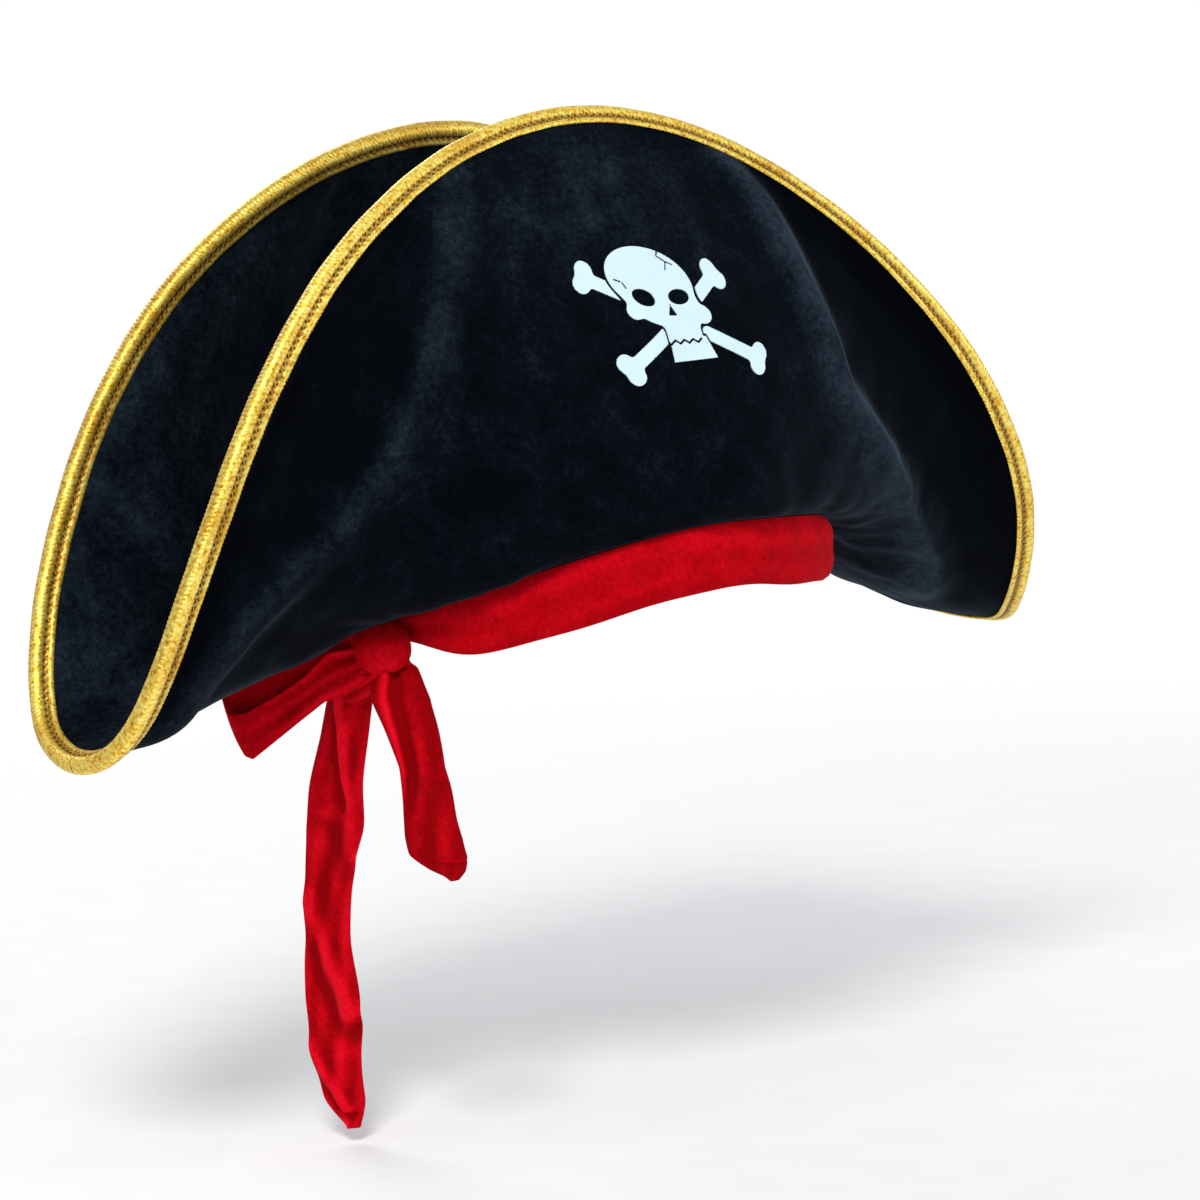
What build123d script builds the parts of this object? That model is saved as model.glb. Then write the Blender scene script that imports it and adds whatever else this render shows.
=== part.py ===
from build123d import *
import math
import os

import numpy as np

# A costume pirate hat: a soft crown, a wired brim turned up in front and behind,
# gold edge binding, and a knotted sash round the head opening.
# Millimetres. Origin: centre of the head opening at the height of the brim's fold.
# +X along the brim towards the wearer's left, +Z up, the front faces -Y.

# Head opening and crown
OPENING_X = 103.0            # half width of the sash band, side to side
OPENING_Y = 100.0            # half depth of the sash band, front to back
BAND_BOTTOM = -23.6          # lowest edge of the band at the front
SAG_LEFT = 7.0               # how far the opening's edge dips at +X
SAG_RIGHT = 27.0             # and at -X, where the knot pulls it down
GATHER_RISE = 14.0           # how far the knot gathers the lower edge up again
GATHER_ANGLE = math.pi + 0.15
GATHER_WIDTH = 0.28          # reach of that gather round the head, radians
BAND_THICK = 1.6
WALL_THICK = 1.4
LINING_THICK = 0.6
SWEATBAND_THICK = 1.2
LAYER_GAP = 0.3              # air between neighbouring layers
WALL_TOP = 72.0              # height of the seam between the crown's wall and its tip
WALL_TOP_RADIUS = 84.0
CROWN_TOP = 112.0
SEAM_HALF_ANGLE = 0.12       # half of the open joint in each strip's back seam, degrees
WALL_SWELL = 3.0             # how far the wall bellies out between its edges
WALL_SHAPE = 1.4             # how late the wall leans in towards its top

# Brim
BRIM_ROOT = 4.6              # height of the brim's mid layer where it leaves the crown
ROOT_OUT = 0.2               # how far outside the band the brim starts
FOLD_REACH = 21.0            # how far the brim runs out before it turns up, in front
FOLD_LIFT = 0.2              # slope at which it leaves the crown in front
SIDE_REACH = (31.0, 47.5)    # the reach at the sides, right and left, where it runs on to the tips
SIDE_SLOPE = (0.9, 0.8)      # how much steeper downwards it leaves the crown there
POUCH = 24.0                 # how far the flap bellies out over the crown
POUCH_DROP = 6.0             # how far the belly hangs down in front
SIDE_BELLY = (10.0, -8.0)    # how much higher it lies at the sides, right and left
EDGE_PULL = 0.33             # how far from the edge the belly begins, as a share of the height
ANGLE_CROWDING = 0.1         # shifts the brim's radial lines towards the front of the crown
STIFFENER_THICK = 1.2
CLOTH_THICK = 1.0
CUT_GAP = 0.008              # gap between a flap and the fold below it, as a share of the height

# Hand-placed points of the brim's edge over the front, from the right tip (-X) to the left
RIM_FRONT = [
    (-236.0, 0.0, -67.5),
    (-235.0, -6.0, -66.5),
    (-232.5, -29.0, -58.0),
    (-167.0, -53.5, 84.0),
    (4.5, -47.0, 159.5),
    (138.0, -81.0, 70.0),
    (195.0, -65.0, -12.0),
    (222.0, -28.0, -52.0),
    (236.0, 0.0, -59.5),
]

# The moving flap: where it starts and ends along the rim, and its lower edge
FLAP_START = 0.17
FLAP_END = 0.80
CUT_MIDDLE = 0.20
CUT_ENDS = 0.93
CUT_SIDE = 0.010             # gap beside the flap's ends, as a share of the rim
TIP_STEP = 0.012             # where the fold's upper edge steps up to the rim
SIDE_SEAM = 0.002            # gap at the seam between the front and the back brim

# Edge binding and wire
BINDING_HEIGHT = 9.0
BINDING_THICK = 0.8
BINDING_INSIDE = 2.2         # half the width between the binding's two legs
WIRE_RADIUS = 0.8
WIRE_HEIGHT = 1.6            # wire centre above the brim's cloth edge

# Sash knot, bow loop and tails, at the right side of the head
KNOT_CENTRE = (-111.8, -15.0, -44.0)
KNOT_HALF = (7.8, 16.0, 11.0)
SASH_CLOTH = 1.6
LOOP_START = (-121.5, -5.0, -51.5)
LOOP_AXIS = (-0.75, 0.62, -0.32)
LOOP_LENGTH = 45.0
LOOP_GAP = 3.0               # between the loop's two leaves
LOOP_ROOT = 15.0             # height of the strip at the knot
LOOP_HEIGHT = 25.0           # and at the loop's end
TAIL_TWIST = math.radians(25)
TAIL_THICK = 5.0
LONG_LINE = [
    (-111.0, 4.5, -56.0),
    (-111.0, 9.5, -76.0),
    (-111.0, 17.0, -104.0),
    (-111.0, 24.5, -134.0),
    (-111.0, 27.7, -165.0),
    (-111.0, 27.5, -200.0),
    (-111.0, 24.0, -221.0),
    (-111.0, 19.5, -232.0),
]
LONG_HALF_WIDTHS = (8.0, 12.0, 13.0, 11.0, 10.5, 12.5, 10.5, 4.0)
SHORT_LINE = [
    (-111.0, -26.5, -56.0),
    (-111.0, -34.5, -71.0),
    (-111.0, -39.0, -84.0),
    (-111.0, -43.0, -100.0),
    (-111.0, -46.0, -113.0),
    (-111.0, -53.5, -124.0),
]
SHORT_HALF_WIDTHS = (7.0, 9.5, 9.0, 11.0, 12.5, 5.0)

# Skull patch and label
EMBLEM_X = -17.0
EMBLEM_Z = 80.5
SKULL_TILT = -17.0           # the skull's dome leans towards the wearer's right
EMBLEM_THICK = 0.4
BONE_WIDTH = 6.0
KNOB = 3.5                   # radius of the two knobs at each bone's end, and their offset
BONES = ((-27.0, 36.0), (34.5, 29.0))    # slope in degrees and half length of each bone
LABEL_WIDTH = 30.0
LABEL_HEIGHT = 14.0
LABEL_SAG = 1.6              # the flat label stands this far inside the curved sweatband


def closed_spline(points, power=0.7):
    """A smooth closed curve through the points, as a function of distance-like knots."""
    points = np.array(points, float)
    count = len(points)
    steps = np.linalg.norm(np.roll(points, -1, 0) - points, axis=1) ** power
    matrix = np.zeros((count, count))
    right = np.zeros((count, 3))
    for i in range(count):
        j = (i + 1) % count
        matrix[i, i - 1] += steps[i - 1]
        matrix[i, i] += 2 * (steps[i - 1] + steps[i])
        matrix[i, j] += steps[i]
        ahead = (points[j] - points[i]) / steps[i]
        behind = (points[i] - points[i - 1]) / steps[i - 1]
        right[i] = 6 * (ahead - behind)
    bend = np.linalg.solve(matrix, right)
    knots = np.concatenate([[0], np.cumsum(steps)])

    def at(place):
        place = np.asarray(place, float) % knots[-1]
        i = np.clip(np.searchsorted(knots, place, side="right") - 1, 0, count - 1)
        j = (i + 1) % count
        after = (place - knots[i])[..., None]
        before = (knots[i + 1] - place)[..., None]
        step = steps[i][..., None]
        curve = (bend[i] * before**3 + bend[j] * after**3) / (6 * step)
        curve = curve + (points[i] / step - bend[i] * step / 6) * before
        return curve + (points[j] / step - bend[j] * step / 6) * after

    return at, knots


def make_rim():
    """The brim's edge: 0 at the right tip, 1 at the left tip over the front, 2 back again."""
    back = [(x, -y, z) for x, y, z in RIM_FRONT[1:-1]][::-1]
    curve, knots = closed_spline(RIM_FRONT + back)
    half = knots[len(RIM_FRONT) - 1]
    places = np.linspace(0, half, 1200)
    steps = np.linalg.norm(np.diff(curve(places), axis=0), axis=1)
    share = np.concatenate([[0], np.cumsum(steps)]) / steps.sum()

    def at(u):
        u = np.asarray(u, float) % 2
        forward = np.where(u > 1, 2 - u, u)
        found = curve(np.interp(forward, share, places))
        found[..., 1] *= np.where(u > 1, -1, 1)
        return found

    return at


rim = make_rim()


def sag(angle):
    """How far the head opening's edge dips at this angle round it."""
    return np.where(np.cos(angle) < 0, SAG_RIGHT, SAG_LEFT) * np.cos(angle) ** 2


def gather(angle):
    """How far the knot pulls the opening's lower edge up at this angle."""
    return GATHER_RISE * np.exp(-(((angle % (2 * math.pi) - GATHER_ANGLE) / GATHER_WIDTH) ** 2))


def opening_angle(u):
    """The angle round the head opening that belongs to a place along the rim."""
    return math.pi * (1 + u - ANGLE_CROWDING * np.sin(2 * math.pi * u))


def brim_middle(u, t):
    """Mid layer of the brim: t is 0 at the crown and 1 at the edge."""
    u, t = np.broadcast_arrays(np.asarray(u, float), np.asarray(t, float))
    angle = opening_angle(u)
    side = np.cos(angle) ** 2
    slope, reach, belly = (np.where(np.cos(angle) < 0, *pair) for pair in (SIDE_SLOPE, SIDE_REACH, SIDE_BELLY))
    across = (OPENING_X + ROOT_OUT) * np.cos(angle)
    deep = (OPENING_Y + ROOT_OUT) * np.sin(angle)
    root = np.stack([across, deep, BRIM_ROOT - sag(angle)], -1)
    edge = rim(u)
    out = np.stack([np.cos(angle), np.sin(angle), FOLD_LIFT - slope * side], -1)
    run = FOLD_REACH + (reach - FOLD_REACH) * side**1.5
    first = root + out * run[..., None]
    hang = np.stack([0 * angle, POUCH * np.sin(angle), belly * side - POUCH_DROP], -1)
    second = edge + (root - edge) * EDGE_PULL + hang
    s = t[..., None]
    rise = root * (1 - s) ** 3 + 3 * first * s * (1 - s) ** 2
    return rise + 3 * second * s**2 * (1 - s) + edge * s**3


def brim_frame(u, t):
    """Point, direction along the rim, direction towards the rim and outward normal."""
    d = 1e-3
    point = brim_middle(u, t)
    along = brim_middle(u + d, t) - brim_middle(u - d, t)
    up = brim_middle(u, t) - brim_middle(u, t - d)
    along = along / np.linalg.norm(along, axis=-1, keepdims=True)
    normal = np.cross(along, up)
    normal = normal / np.linalg.norm(normal, axis=-1, keepdims=True)
    up = np.cross(normal, along)
    return point, along, up, normal


# ---- solids: every soft piece is a closed solid between two smooth surfaces

def surface(grid):
    return Face.make_surface_from_array_of_points([[Vector(*p) for p in row] for row in grid], tol=0.02)


def solid_between(first, second):
    """The closed solid between two grids of points of the same layout."""
    top = surface(first)
    bottom = surface(second)
    sides = [Face.make_surface_from_curves(a, b) for a, b in zip(top.edges(), bottom.edges())]
    solid = Solid(Shell([top, bottom, *sides]))
    return solid if solid.volume > 0 else Solid(Shell([top, bottom, *sides]).fix())


def write(name, shape):
    shape.label = name
    export_step(shape, f"parts/{name}.step")


# Crown: a wall, a tip, their lining, a sweatband and a label

def wall_radius(angle, lift, inset):
    """Radius of the crown's wall: lift is 0 at the opening and 1 at the seam with the tip."""
    across = np.cos(angle) / (OPENING_X - inset)
    deep = np.sin(angle) / (OPENING_Y - inset)
    base = 1 / np.sqrt(across**2 + deep**2)
    top = WALL_TOP_RADIUS - inset + BAND_THICK
    return base + (top - base) * lift**WALL_SHAPE + WALL_SWELL * np.sin(math.pi * lift)


def ring_strip(inset, thick, low, high, follow):
    """A strip round the head, closed by a seam at the back. follow is 1 where its top dips too."""
    angles = math.pi / 2 + np.radians(np.linspace(SEAM_HALF_ANGLE, 360 - SEAM_HALF_ANGLE, 73))
    rise = np.linspace(0, 1, 7)
    angle, part = np.meshgrid(angles, rise, indexing="ij")
    bottom = low - sag(angle) + gather(angle)
    top = high - follow * sag(angle)
    z = bottom + (top - bottom) * part
    level = BRIM_ROOT + 2.0 - sag(angle)
    lift = np.clip((z - level) / (WALL_TOP - level), 0, 1) * (1 - follow)

    def skin(depth):
        radius = wall_radius(angle, lift, depth)
        return np.stack([radius * np.cos(angle), radius * np.sin(angle), z], -1)

    return solid_between(skin(inset), skin(inset + thick))


def dome_panel(drop, thick):
    """A round panel of the crown's tip, drop below its outer surface."""
    rise = CROWN_TOP - WALL_TOP
    radius = (WALL_TOP_RADIUS**2 + rise**2) / (2 * rise)
    centre = CROWN_TOP - radius
    shell = Pos(0, 0, centre) * (Sphere(radius - drop) - Sphere(radius - drop - thick))
    keep = Pos(0, 0, WALL_TOP + LAYER_GAP) * Box(400, 400, 200, align=(Align.CENTER, Align.CENTER, Align.MIN))
    return (shell & keep).solid()


def make_crown():
    wall_inset = BAND_THICK + LAYER_GAP
    lining_inset = wall_inset + WALL_THICK + LAYER_GAP
    sweat_inset = lining_inset + LINING_THICK + LAYER_GAP
    low = BAND_BOTTOM + 1.0
    write("sash_band", ring_strip(0, BAND_THICK, BAND_BOTTOM, 0, 1))
    write("crown_wall", ring_strip(wall_inset, WALL_THICK, low, WALL_TOP, 0))
    write("crown_lining_wall", ring_strip(lining_inset, LINING_THICK, low, WALL_TOP - 2.5, 0))
    write("sweatband", ring_strip(sweat_inset, SWEATBAND_THICK, low, 6.0, 1))
    write("crown_tip", dome_panel(0, WALL_THICK))
    write("crown_lining_tip", dome_panel(WALL_THICK + LAYER_GAP, LINING_THICK))


# Brim: cloth, stiffener and cloth, in a fixed fold with the tips and a moving flap,
# in front and behind

LAYERS = {
    "outer_cloth": (STIFFENER_THICK / 2 + LAYER_GAP, CLOTH_THICK),
    "stiffener": (-STIFFENER_THICK / 2, STIFFENER_THICK),
    "inner_cloth": (-STIFFENER_THICK / 2 - LAYER_GAP - CLOTH_THICK, CLOTH_THICK),
}


def cut_height(u):
    """Share of the brim's height at which the moving flap begins."""
    middle = (FLAP_START + FLAP_END) / 2
    way = np.clip(np.abs(u - middle) / (FLAP_END - middle), 0, 1)
    return CUT_MIDDLE + (CUT_ENDS - CUT_MIDDLE) * way**5


def brim_layer(u, t, depth, thick, back):
    """One layer over a grid of places; back mirrors it to the rear."""
    point, _, _, normal = brim_frame(u, t)
    inner = point + normal * depth
    outer = point + normal * (depth + thick)
    if back:
        inner = inner * [1, -1, 1]
        outer = outer * [1, -1, 1]
    return solid_between(inner, outer)


def fold_grid():
    """The fixed fold and the tips, up to the flap's lower edge."""
    u = np.concatenate([
        np.linspace(SIDE_SEAM, FLAP_START - TIP_STEP, 13),
        np.linspace(FLAP_START, FLAP_END, 33),
        np.linspace(FLAP_END + TIP_STEP, 1 - SIDE_SEAM, 13),
    ])
    inside = (u >= FLAP_START - 1e-9) & (u <= FLAP_END + 1e-9)
    top = np.where(inside, cut_height(u) - CUT_GAP, 1.0)
    rise = np.linspace(0, 1, 11)
    return np.broadcast_to(u[:, None], (len(u), len(rise))), top[:, None] * rise


def flap_grid():
    """The moving flap, from its lower edge to the rim."""
    u = np.linspace(FLAP_START + CUT_SIDE, FLAP_END - CUT_SIDE, 41)
    rise = np.linspace(0, 1, 9)
    low = cut_height(u)[:, None]
    return np.broadcast_to(u[:, None], (len(u), len(rise))), low + (1 - low) * rise


def make_brim():
    for side, back in (("front", False), ("back", True)):
        for layer, (depth, thick) in LAYERS.items():
            write(f"{side}_brim_{layer}", brim_layer(*fold_grid(), depth, thick, back))
            write(f"{side}_flap_{layer}", brim_layer(*flap_grid(), depth, thick, back))


# Binding: a tape folded over the rim, with a wire inside its fold

def binding_section(width, top, count=13):
    """Offsets across and up for a U-shaped tape of this half width, hem to hem over the top."""
    low = -BINDING_HEIGHT / 2
    straight = top - width
    turn = np.radians(np.linspace(180, 0, count))
    across = np.concatenate([[-width, -width], width * np.cos(turn), [width, width]])
    middle = (low + straight) / 2
    up = np.concatenate([[low, middle], straight + width * np.sin(turn), [middle, low]])
    return across, up


def rim_frames(u, back):
    """Frames along the rim, carried over the tips from the front brim to the back one."""
    forward = np.where(u > 1, 2 - u, u)
    forward = np.where(forward < 0, -forward, forward)
    behind = (u > 1) | (u < 0)
    point, along, up, normal = brim_frame(forward, np.ones_like(forward))
    flip = np.where(behind[:, None] != back, np.array([1, -1, 1]), 1)
    return point * flip, up * flip, normal * flip


def binding(u, back=False):
    point, up, normal = rim_frames(u, back)

    def skin(width, top):
        across, height = binding_section(width, top)
        return point[:, None] + normal[:, None] * across[:, None] + up[:, None] * height[:, None]

    top = BINDING_HEIGHT / 2
    return solid_between(skin(BINDING_INSIDE + BINDING_THICK, top), skin(BINDING_INSIDE, top - BINDING_THICK))


def wire(u, back=False):
    point, up, _ = rim_frames(u, back)
    path = Spline(*[Vector(*p) for p in point + up * WIRE_HEIGHT])
    return sweep(Plane(path @ 0, z_dir=path % 0) * Circle(WIRE_RADIUS), path=path).solid()


def make_edges():
    gap = 0.0008
    flap = np.linspace(FLAP_START + gap, FLAP_END - gap, 49)
    left_tip = np.linspace(FLAP_END + gap, 2 - FLAP_END - gap, 33)
    right_tip = np.linspace(-FLAP_START + gap, FLAP_START - gap, 33)
    runs = {
        "front_flap": (flap, False),
        "back_flap": (flap, True),
        "left_tip": (left_tip, False),
        "right_tip": (right_tip, False),
    }
    for name, (u, back) in runs.items():
        write(f"{name}_binding", binding(u, back))
        write(f"{name}_wire", wire(u, back))


# Sash: knot, bow loop and two tails at the right side of the head

def make_knot():
    knot = Pos(*KNOT_CENTRE) * scale(Sphere(1), by=KNOT_HALF)
    write("sash_knot", knot)


def make_loop():
    """A flat bow loop: one strip folded back on itself, narrow at the knot."""
    axis = Vector(*LOOP_AXIS).normalized()
    side = Vector(-LOOP_AXIS[1], LOOP_AXIS[0], 0).normalized()
    tall = axis.cross(side)
    width = LOOP_GAP + 2 * SASH_CLOTH
    ring = SlotOverall(LOOP_LENGTH, width) - SlotOverall(LOOP_LENGTH - 2 * SASH_CLOTH, LOOP_GAP)
    lying = Plane(origin=LOOP_START, x_dir=axis, z_dir=tall)
    band = extrude(lying * Pos(LOOP_LENGTH / 2, 0) * ring, amount=LOOP_HEIGHT / 2, both=True)
    root = LOOP_ROOT / 2
    end = LOOP_HEIGHT / 2
    corners = [(0, -root), (LOOP_LENGTH, -end), (LOOP_LENGTH, end), (0, root)]
    standing = Plane(origin=LOOP_START, x_dir=axis, z_dir=-side)
    taper = extrude(standing * make_face(Polyline(*corners, close=True)), amount=width, both=True)
    write("sash_loop", (band & taper).solid())


def make_tail(name, line, half_widths):
    """A hanging end of the sash: a flat strip that follows a line, with a half width at each point."""
    fall = np.linspace(0, len(line) - 1, 25)
    stops = range(len(line))
    middle = np.stack([np.interp(fall, stops, axis) for axis in zip(*line)], -1)
    half = np.interp(fall, stops, half_widths)
    spread = np.linspace(-1, 1, 7)
    wide = np.array([math.sin(TAIL_TWIST), -math.cos(TAIL_TWIST), 0])
    facing = np.array([-math.cos(TAIL_TWIST), -math.sin(TAIL_TWIST), 0])
    sheet = middle[:, None] + (half[:, None] * spread)[..., None] * wide
    swell = (TAIL_THICK / 2 * (1 - 0.6 * spread**2))[None, :, None] * facing
    write(name, solid_between(sheet - swell, sheet + swell))


def make_sash():
    make_knot()
    make_loop()
    make_tail("sash_tail_long", LONG_LINE, LONG_HALF_WIDTHS)
    make_tail("sash_tail_short", SHORT_LINE, SHORT_HALF_WIDTHS)


# Trim: the skull patch on the front flap and the blank label inside

def skull_outline():
    """A plain skull over crossed bones, seen from the front, about its own centre."""
    skull = Pos(-5, 16.5) * Rot(0, 0, SKULL_TILT) * Ellipse(19.0, 13.5)
    skull += Pos(-1, 3.5) * Ellipse(18.0, 8.0)
    skull += Pos(3.5, -8.5) * RectangleRounded(18, 18, 4)
    for x in (-11.0, 5.0):
        skull -= Pos(x, 9.5) * Ellipse(4.8, 3.3)
    skull -= Pos(-1, 3.5) * Circle(1.8)
    for slope, half in BONES:
        turn = math.radians(slope)
        skull += Rot(0, 0, slope) * Rectangle(2 * half, BONE_WIDTH)
        for end in (-1, 1):
            for knob in (-KNOB, KNOB):
                x = end * half * math.cos(turn) - knob * math.sin(turn)
                y = end * half * math.sin(turn) + knob * math.cos(turn)
                skull += Pos(x, y) * Circle(KNOB)
    return skull


def make_emblem():
    u, t = np.meshgrid(np.linspace(0.38, 0.58, 19), np.linspace(0.40, 0.84, 15), indexing="ij")
    low = STIFFENER_THICK / 2 + LAYER_GAP + CLOTH_THICK + 0.1
    sheet = brim_layer(u, t, low, EMBLEM_THICK, False)
    front = Plane(origin=(EMBLEM_X, 0, EMBLEM_Z), x_dir=(1, 0, 0), z_dir=(0, -1, 0))
    cutter = extrude(front * skull_outline(), amount=150)
    write("skull_emblem", sheet & cutter)


def make_label():
    inset = BAND_THICK + WALL_THICK + LINING_THICK + SWEATBAND_THICK + 4 * LAYER_GAP
    y = OPENING_Y - inset - LABEL_SAG
    write("care_label", Pos(0, y, BAND_BOTTOM + LABEL_HEIGHT / 2 + 4) * Box(LABEL_WIDTH, 0.3, LABEL_HEIGHT))


os.makedirs("parts", exist_ok=True)
make_crown()
make_brim()
make_edges()
make_sash()
make_emblem()
make_label()
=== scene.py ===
import math

import bpy
import numpy as np
from mathutils import Matrix, Vector, noise


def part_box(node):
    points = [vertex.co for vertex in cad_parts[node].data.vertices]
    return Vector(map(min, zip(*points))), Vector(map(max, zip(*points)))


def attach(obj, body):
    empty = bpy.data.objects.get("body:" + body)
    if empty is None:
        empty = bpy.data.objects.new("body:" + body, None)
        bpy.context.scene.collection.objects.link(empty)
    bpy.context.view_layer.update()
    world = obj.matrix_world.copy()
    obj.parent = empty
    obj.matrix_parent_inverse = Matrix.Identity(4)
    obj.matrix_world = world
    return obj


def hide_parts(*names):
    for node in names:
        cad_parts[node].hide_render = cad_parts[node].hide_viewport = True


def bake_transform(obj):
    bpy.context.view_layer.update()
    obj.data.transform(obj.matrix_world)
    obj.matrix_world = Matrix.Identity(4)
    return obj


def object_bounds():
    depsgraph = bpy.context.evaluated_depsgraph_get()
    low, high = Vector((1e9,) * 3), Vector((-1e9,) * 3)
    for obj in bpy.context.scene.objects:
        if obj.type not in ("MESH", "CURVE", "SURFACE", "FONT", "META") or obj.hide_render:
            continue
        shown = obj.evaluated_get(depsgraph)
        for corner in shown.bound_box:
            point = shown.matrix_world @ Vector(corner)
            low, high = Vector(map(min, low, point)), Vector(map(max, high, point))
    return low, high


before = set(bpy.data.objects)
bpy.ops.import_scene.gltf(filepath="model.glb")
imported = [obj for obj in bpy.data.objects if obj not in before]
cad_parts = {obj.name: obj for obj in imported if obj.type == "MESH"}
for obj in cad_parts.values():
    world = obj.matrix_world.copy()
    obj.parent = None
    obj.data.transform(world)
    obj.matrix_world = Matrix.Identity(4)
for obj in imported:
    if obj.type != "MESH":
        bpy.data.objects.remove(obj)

CAD_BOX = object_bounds()
MM = 0.001

# A costume pirate hat. Lengths below are millimetres in the hat's own frame, and a mesh turns
# them into metres when it is made. +X is the wearer's left, the front faces -Y, +Z is up.

# Head opening, crown and layers, as in the CAD part
OPENING_X = 103.0
OPENING_Y = 100.0
BAND_BOTTOM = -23.6
SAG_LEFT = 7.0
SAG_RIGHT = 27.0
BAND_THICK = 1.6
WALL_THICK = 1.4
LINING_THICK = 0.6
SWEATBAND_THICK = 1.2
LAYER_GAP = 0.3
WALL_TOP = 72.0
WALL_TOP_RADIUS = 84.0
CROWN_TOP = 112.0
GATHER_RISE = 14.0
GATHER_ANGLE = math.pi + 0.15
GATHER_WIDTH = 0.28
WALL_SWELL = 3.0
WALL_SHAPE = 1.4
BRIM_ROOT = 4.6
ROOT_OUT = 0.2
FOLD_REACH = 21.0
FOLD_LIFT = 0.2
SIDE_REACH = (31.0, 47.5)
SIDE_SLOPE = (0.9, 0.8)
POUCH = 24.0
POUCH_DROP = 6.0
SIDE_BELLY = (10.0, -8.0)
EDGE_PULL = 0.33
ANGLE_CROWDING = 0.1
STIFFENER_THICK = 1.2
CLOTH_THICK = 1.0
WIRE_RADIUS = 0.8
WIRE_HEIGHT = 1.6

# The brim's edge from the right tip over the front to the left tip. Its first two points differ
# from the CAD part's, which moves the rim by up to 2.5 mm on its way up from the right tip. The
# back brim is the mirror image of the front one.
RIM_FRONT = [
    (-236.0, 0.0, -69.0),
    (-235.5, -10.5, -67.8),
    (-232.5, -29.0, -58.0),
    (-167.0, -53.5, 84.0),
    (4.5, -47.0, 159.5),
    (138.0, -81.0, 70.0),
    (195.0, -65.0, -12.0),
    (222.0, -28.0, -52.0),
    (236.0, 0.0, -59.5),
]
FACING = {"front": np.array([1, 1, 1]), "back": np.array([1, -1, 1])}

# Camera: where it stands round the hat, how far off, and how it is turned
VIEW_TURN = math.radians(39.0)
VIEW_RISE = math.radians(5.0)
VIEW_ROLL = math.radians(-3.0)
VIEW_DISTANCE = 1499.0
VIEW_SIDE = 12.0
VIEW_UP = -31.2
LENS = 110.66


def smooth(x):
    x = np.clip(x, 0.0, 1.0)
    return x * x * (3.0 - 2.0 * x)


def unit(vectors):
    vectors = np.asarray(vectors, float)
    return vectors / np.linalg.norm(vectors, axis=-1, keepdims=True)


def bell(x):
    return np.exp(-(x**2))


def bent(value, power):
    """A sine or cosine squared off (power below 1), keeping its sign."""
    return np.sign(value) * np.abs(value) ** power


def round_turn(count):
    return np.linspace(0, 2 * math.pi, count, endpoint=False)


def blur(values, times, wrap=False):
    """Spread a grid of values in place. With wrap its last column joins its first."""
    for _ in range(times):
        values[1:-1] = (values[:-2] + 2 * values[1:-1] + values[2:]) / 4
        if wrap:
            values = (np.roll(values, 1, 1) + 2 * values + np.roll(values, -1, 1)) / 4
        else:
            values[:, 1:-1] = (values[:, :-2] + 2 * values[:, 1:-1] + values[:, 2:]) / 4
    return values


# ---- the brim's surface, by the CAD part's formula

def closed_spline(points, power=0.7):
    points = np.array(points, float)
    count = len(points)
    steps = np.linalg.norm(np.roll(points, -1, 0) - points, axis=1) ** power
    matrix = np.zeros((count, count))
    right = np.zeros((count, 3))
    for i in range(count):
        j = (i + 1) % count
        matrix[i, i - 1] += steps[i - 1]
        matrix[i, i] += 2 * (steps[i - 1] + steps[i])
        matrix[i, j] += steps[i]
        after = (points[j] - points[i]) / steps[i]
        before = (points[i] - points[i - 1]) / steps[i - 1]
        right[i] = 6 * (after - before)
    bend = np.linalg.solve(matrix, right)
    knots = np.concatenate([[0], np.cumsum(steps)])

    def at(place):
        place = np.asarray(place, float) % knots[-1]
        i = np.clip(np.searchsorted(knots, place, side="right") - 1, 0, count - 1)
        j = (i + 1) % count
        after = (place - knots[i])[..., None]
        before = (knots[i + 1] - place)[..., None]
        step = steps[i][..., None]
        curve = (bend[i] * before**3 + bend[j] * after**3) / (6 * step)
        curve = curve + (points[i] / step - bend[i] * step / 6) * before
        return curve + (points[j] / step - bend[j] * step / 6) * after

    return at, knots


def make_rim():
    """The brim's edge: 0 at the right tip, 1 at the left tip over the front."""
    back = [(x, -y, z) for x, y, z in RIM_FRONT[1:-1]][::-1]
    curve, knots = closed_spline(RIM_FRONT + back)
    places = np.linspace(0, knots[len(RIM_FRONT) - 1], 1200)
    steps = np.linalg.norm(np.diff(curve(places), axis=0), axis=1)
    length = np.concatenate([[0], np.cumsum(steps)])

    def at(u):
        u = np.asarray(u, float)
        inside = np.where(u > 1, 2 - u, np.abs(u))
        found = curve(np.interp(inside, length / length[-1], places))
        found[..., 1] *= np.where((u > 1) | (u < 0), -1, 1)
        return found

    return at, length[-1]


rim, RIM_LENGTH = make_rim()


def sag(angle):
    return np.where(np.cos(angle) < 0, SAG_RIGHT, SAG_LEFT) * np.cos(angle) ** 2


def gather(angle):
    """How far the knot pulls the opening's lower edge up at this angle."""
    return GATHER_RISE * bell((angle % (2 * math.pi) - GATHER_ANGLE) / GATHER_WIDTH)


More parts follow.
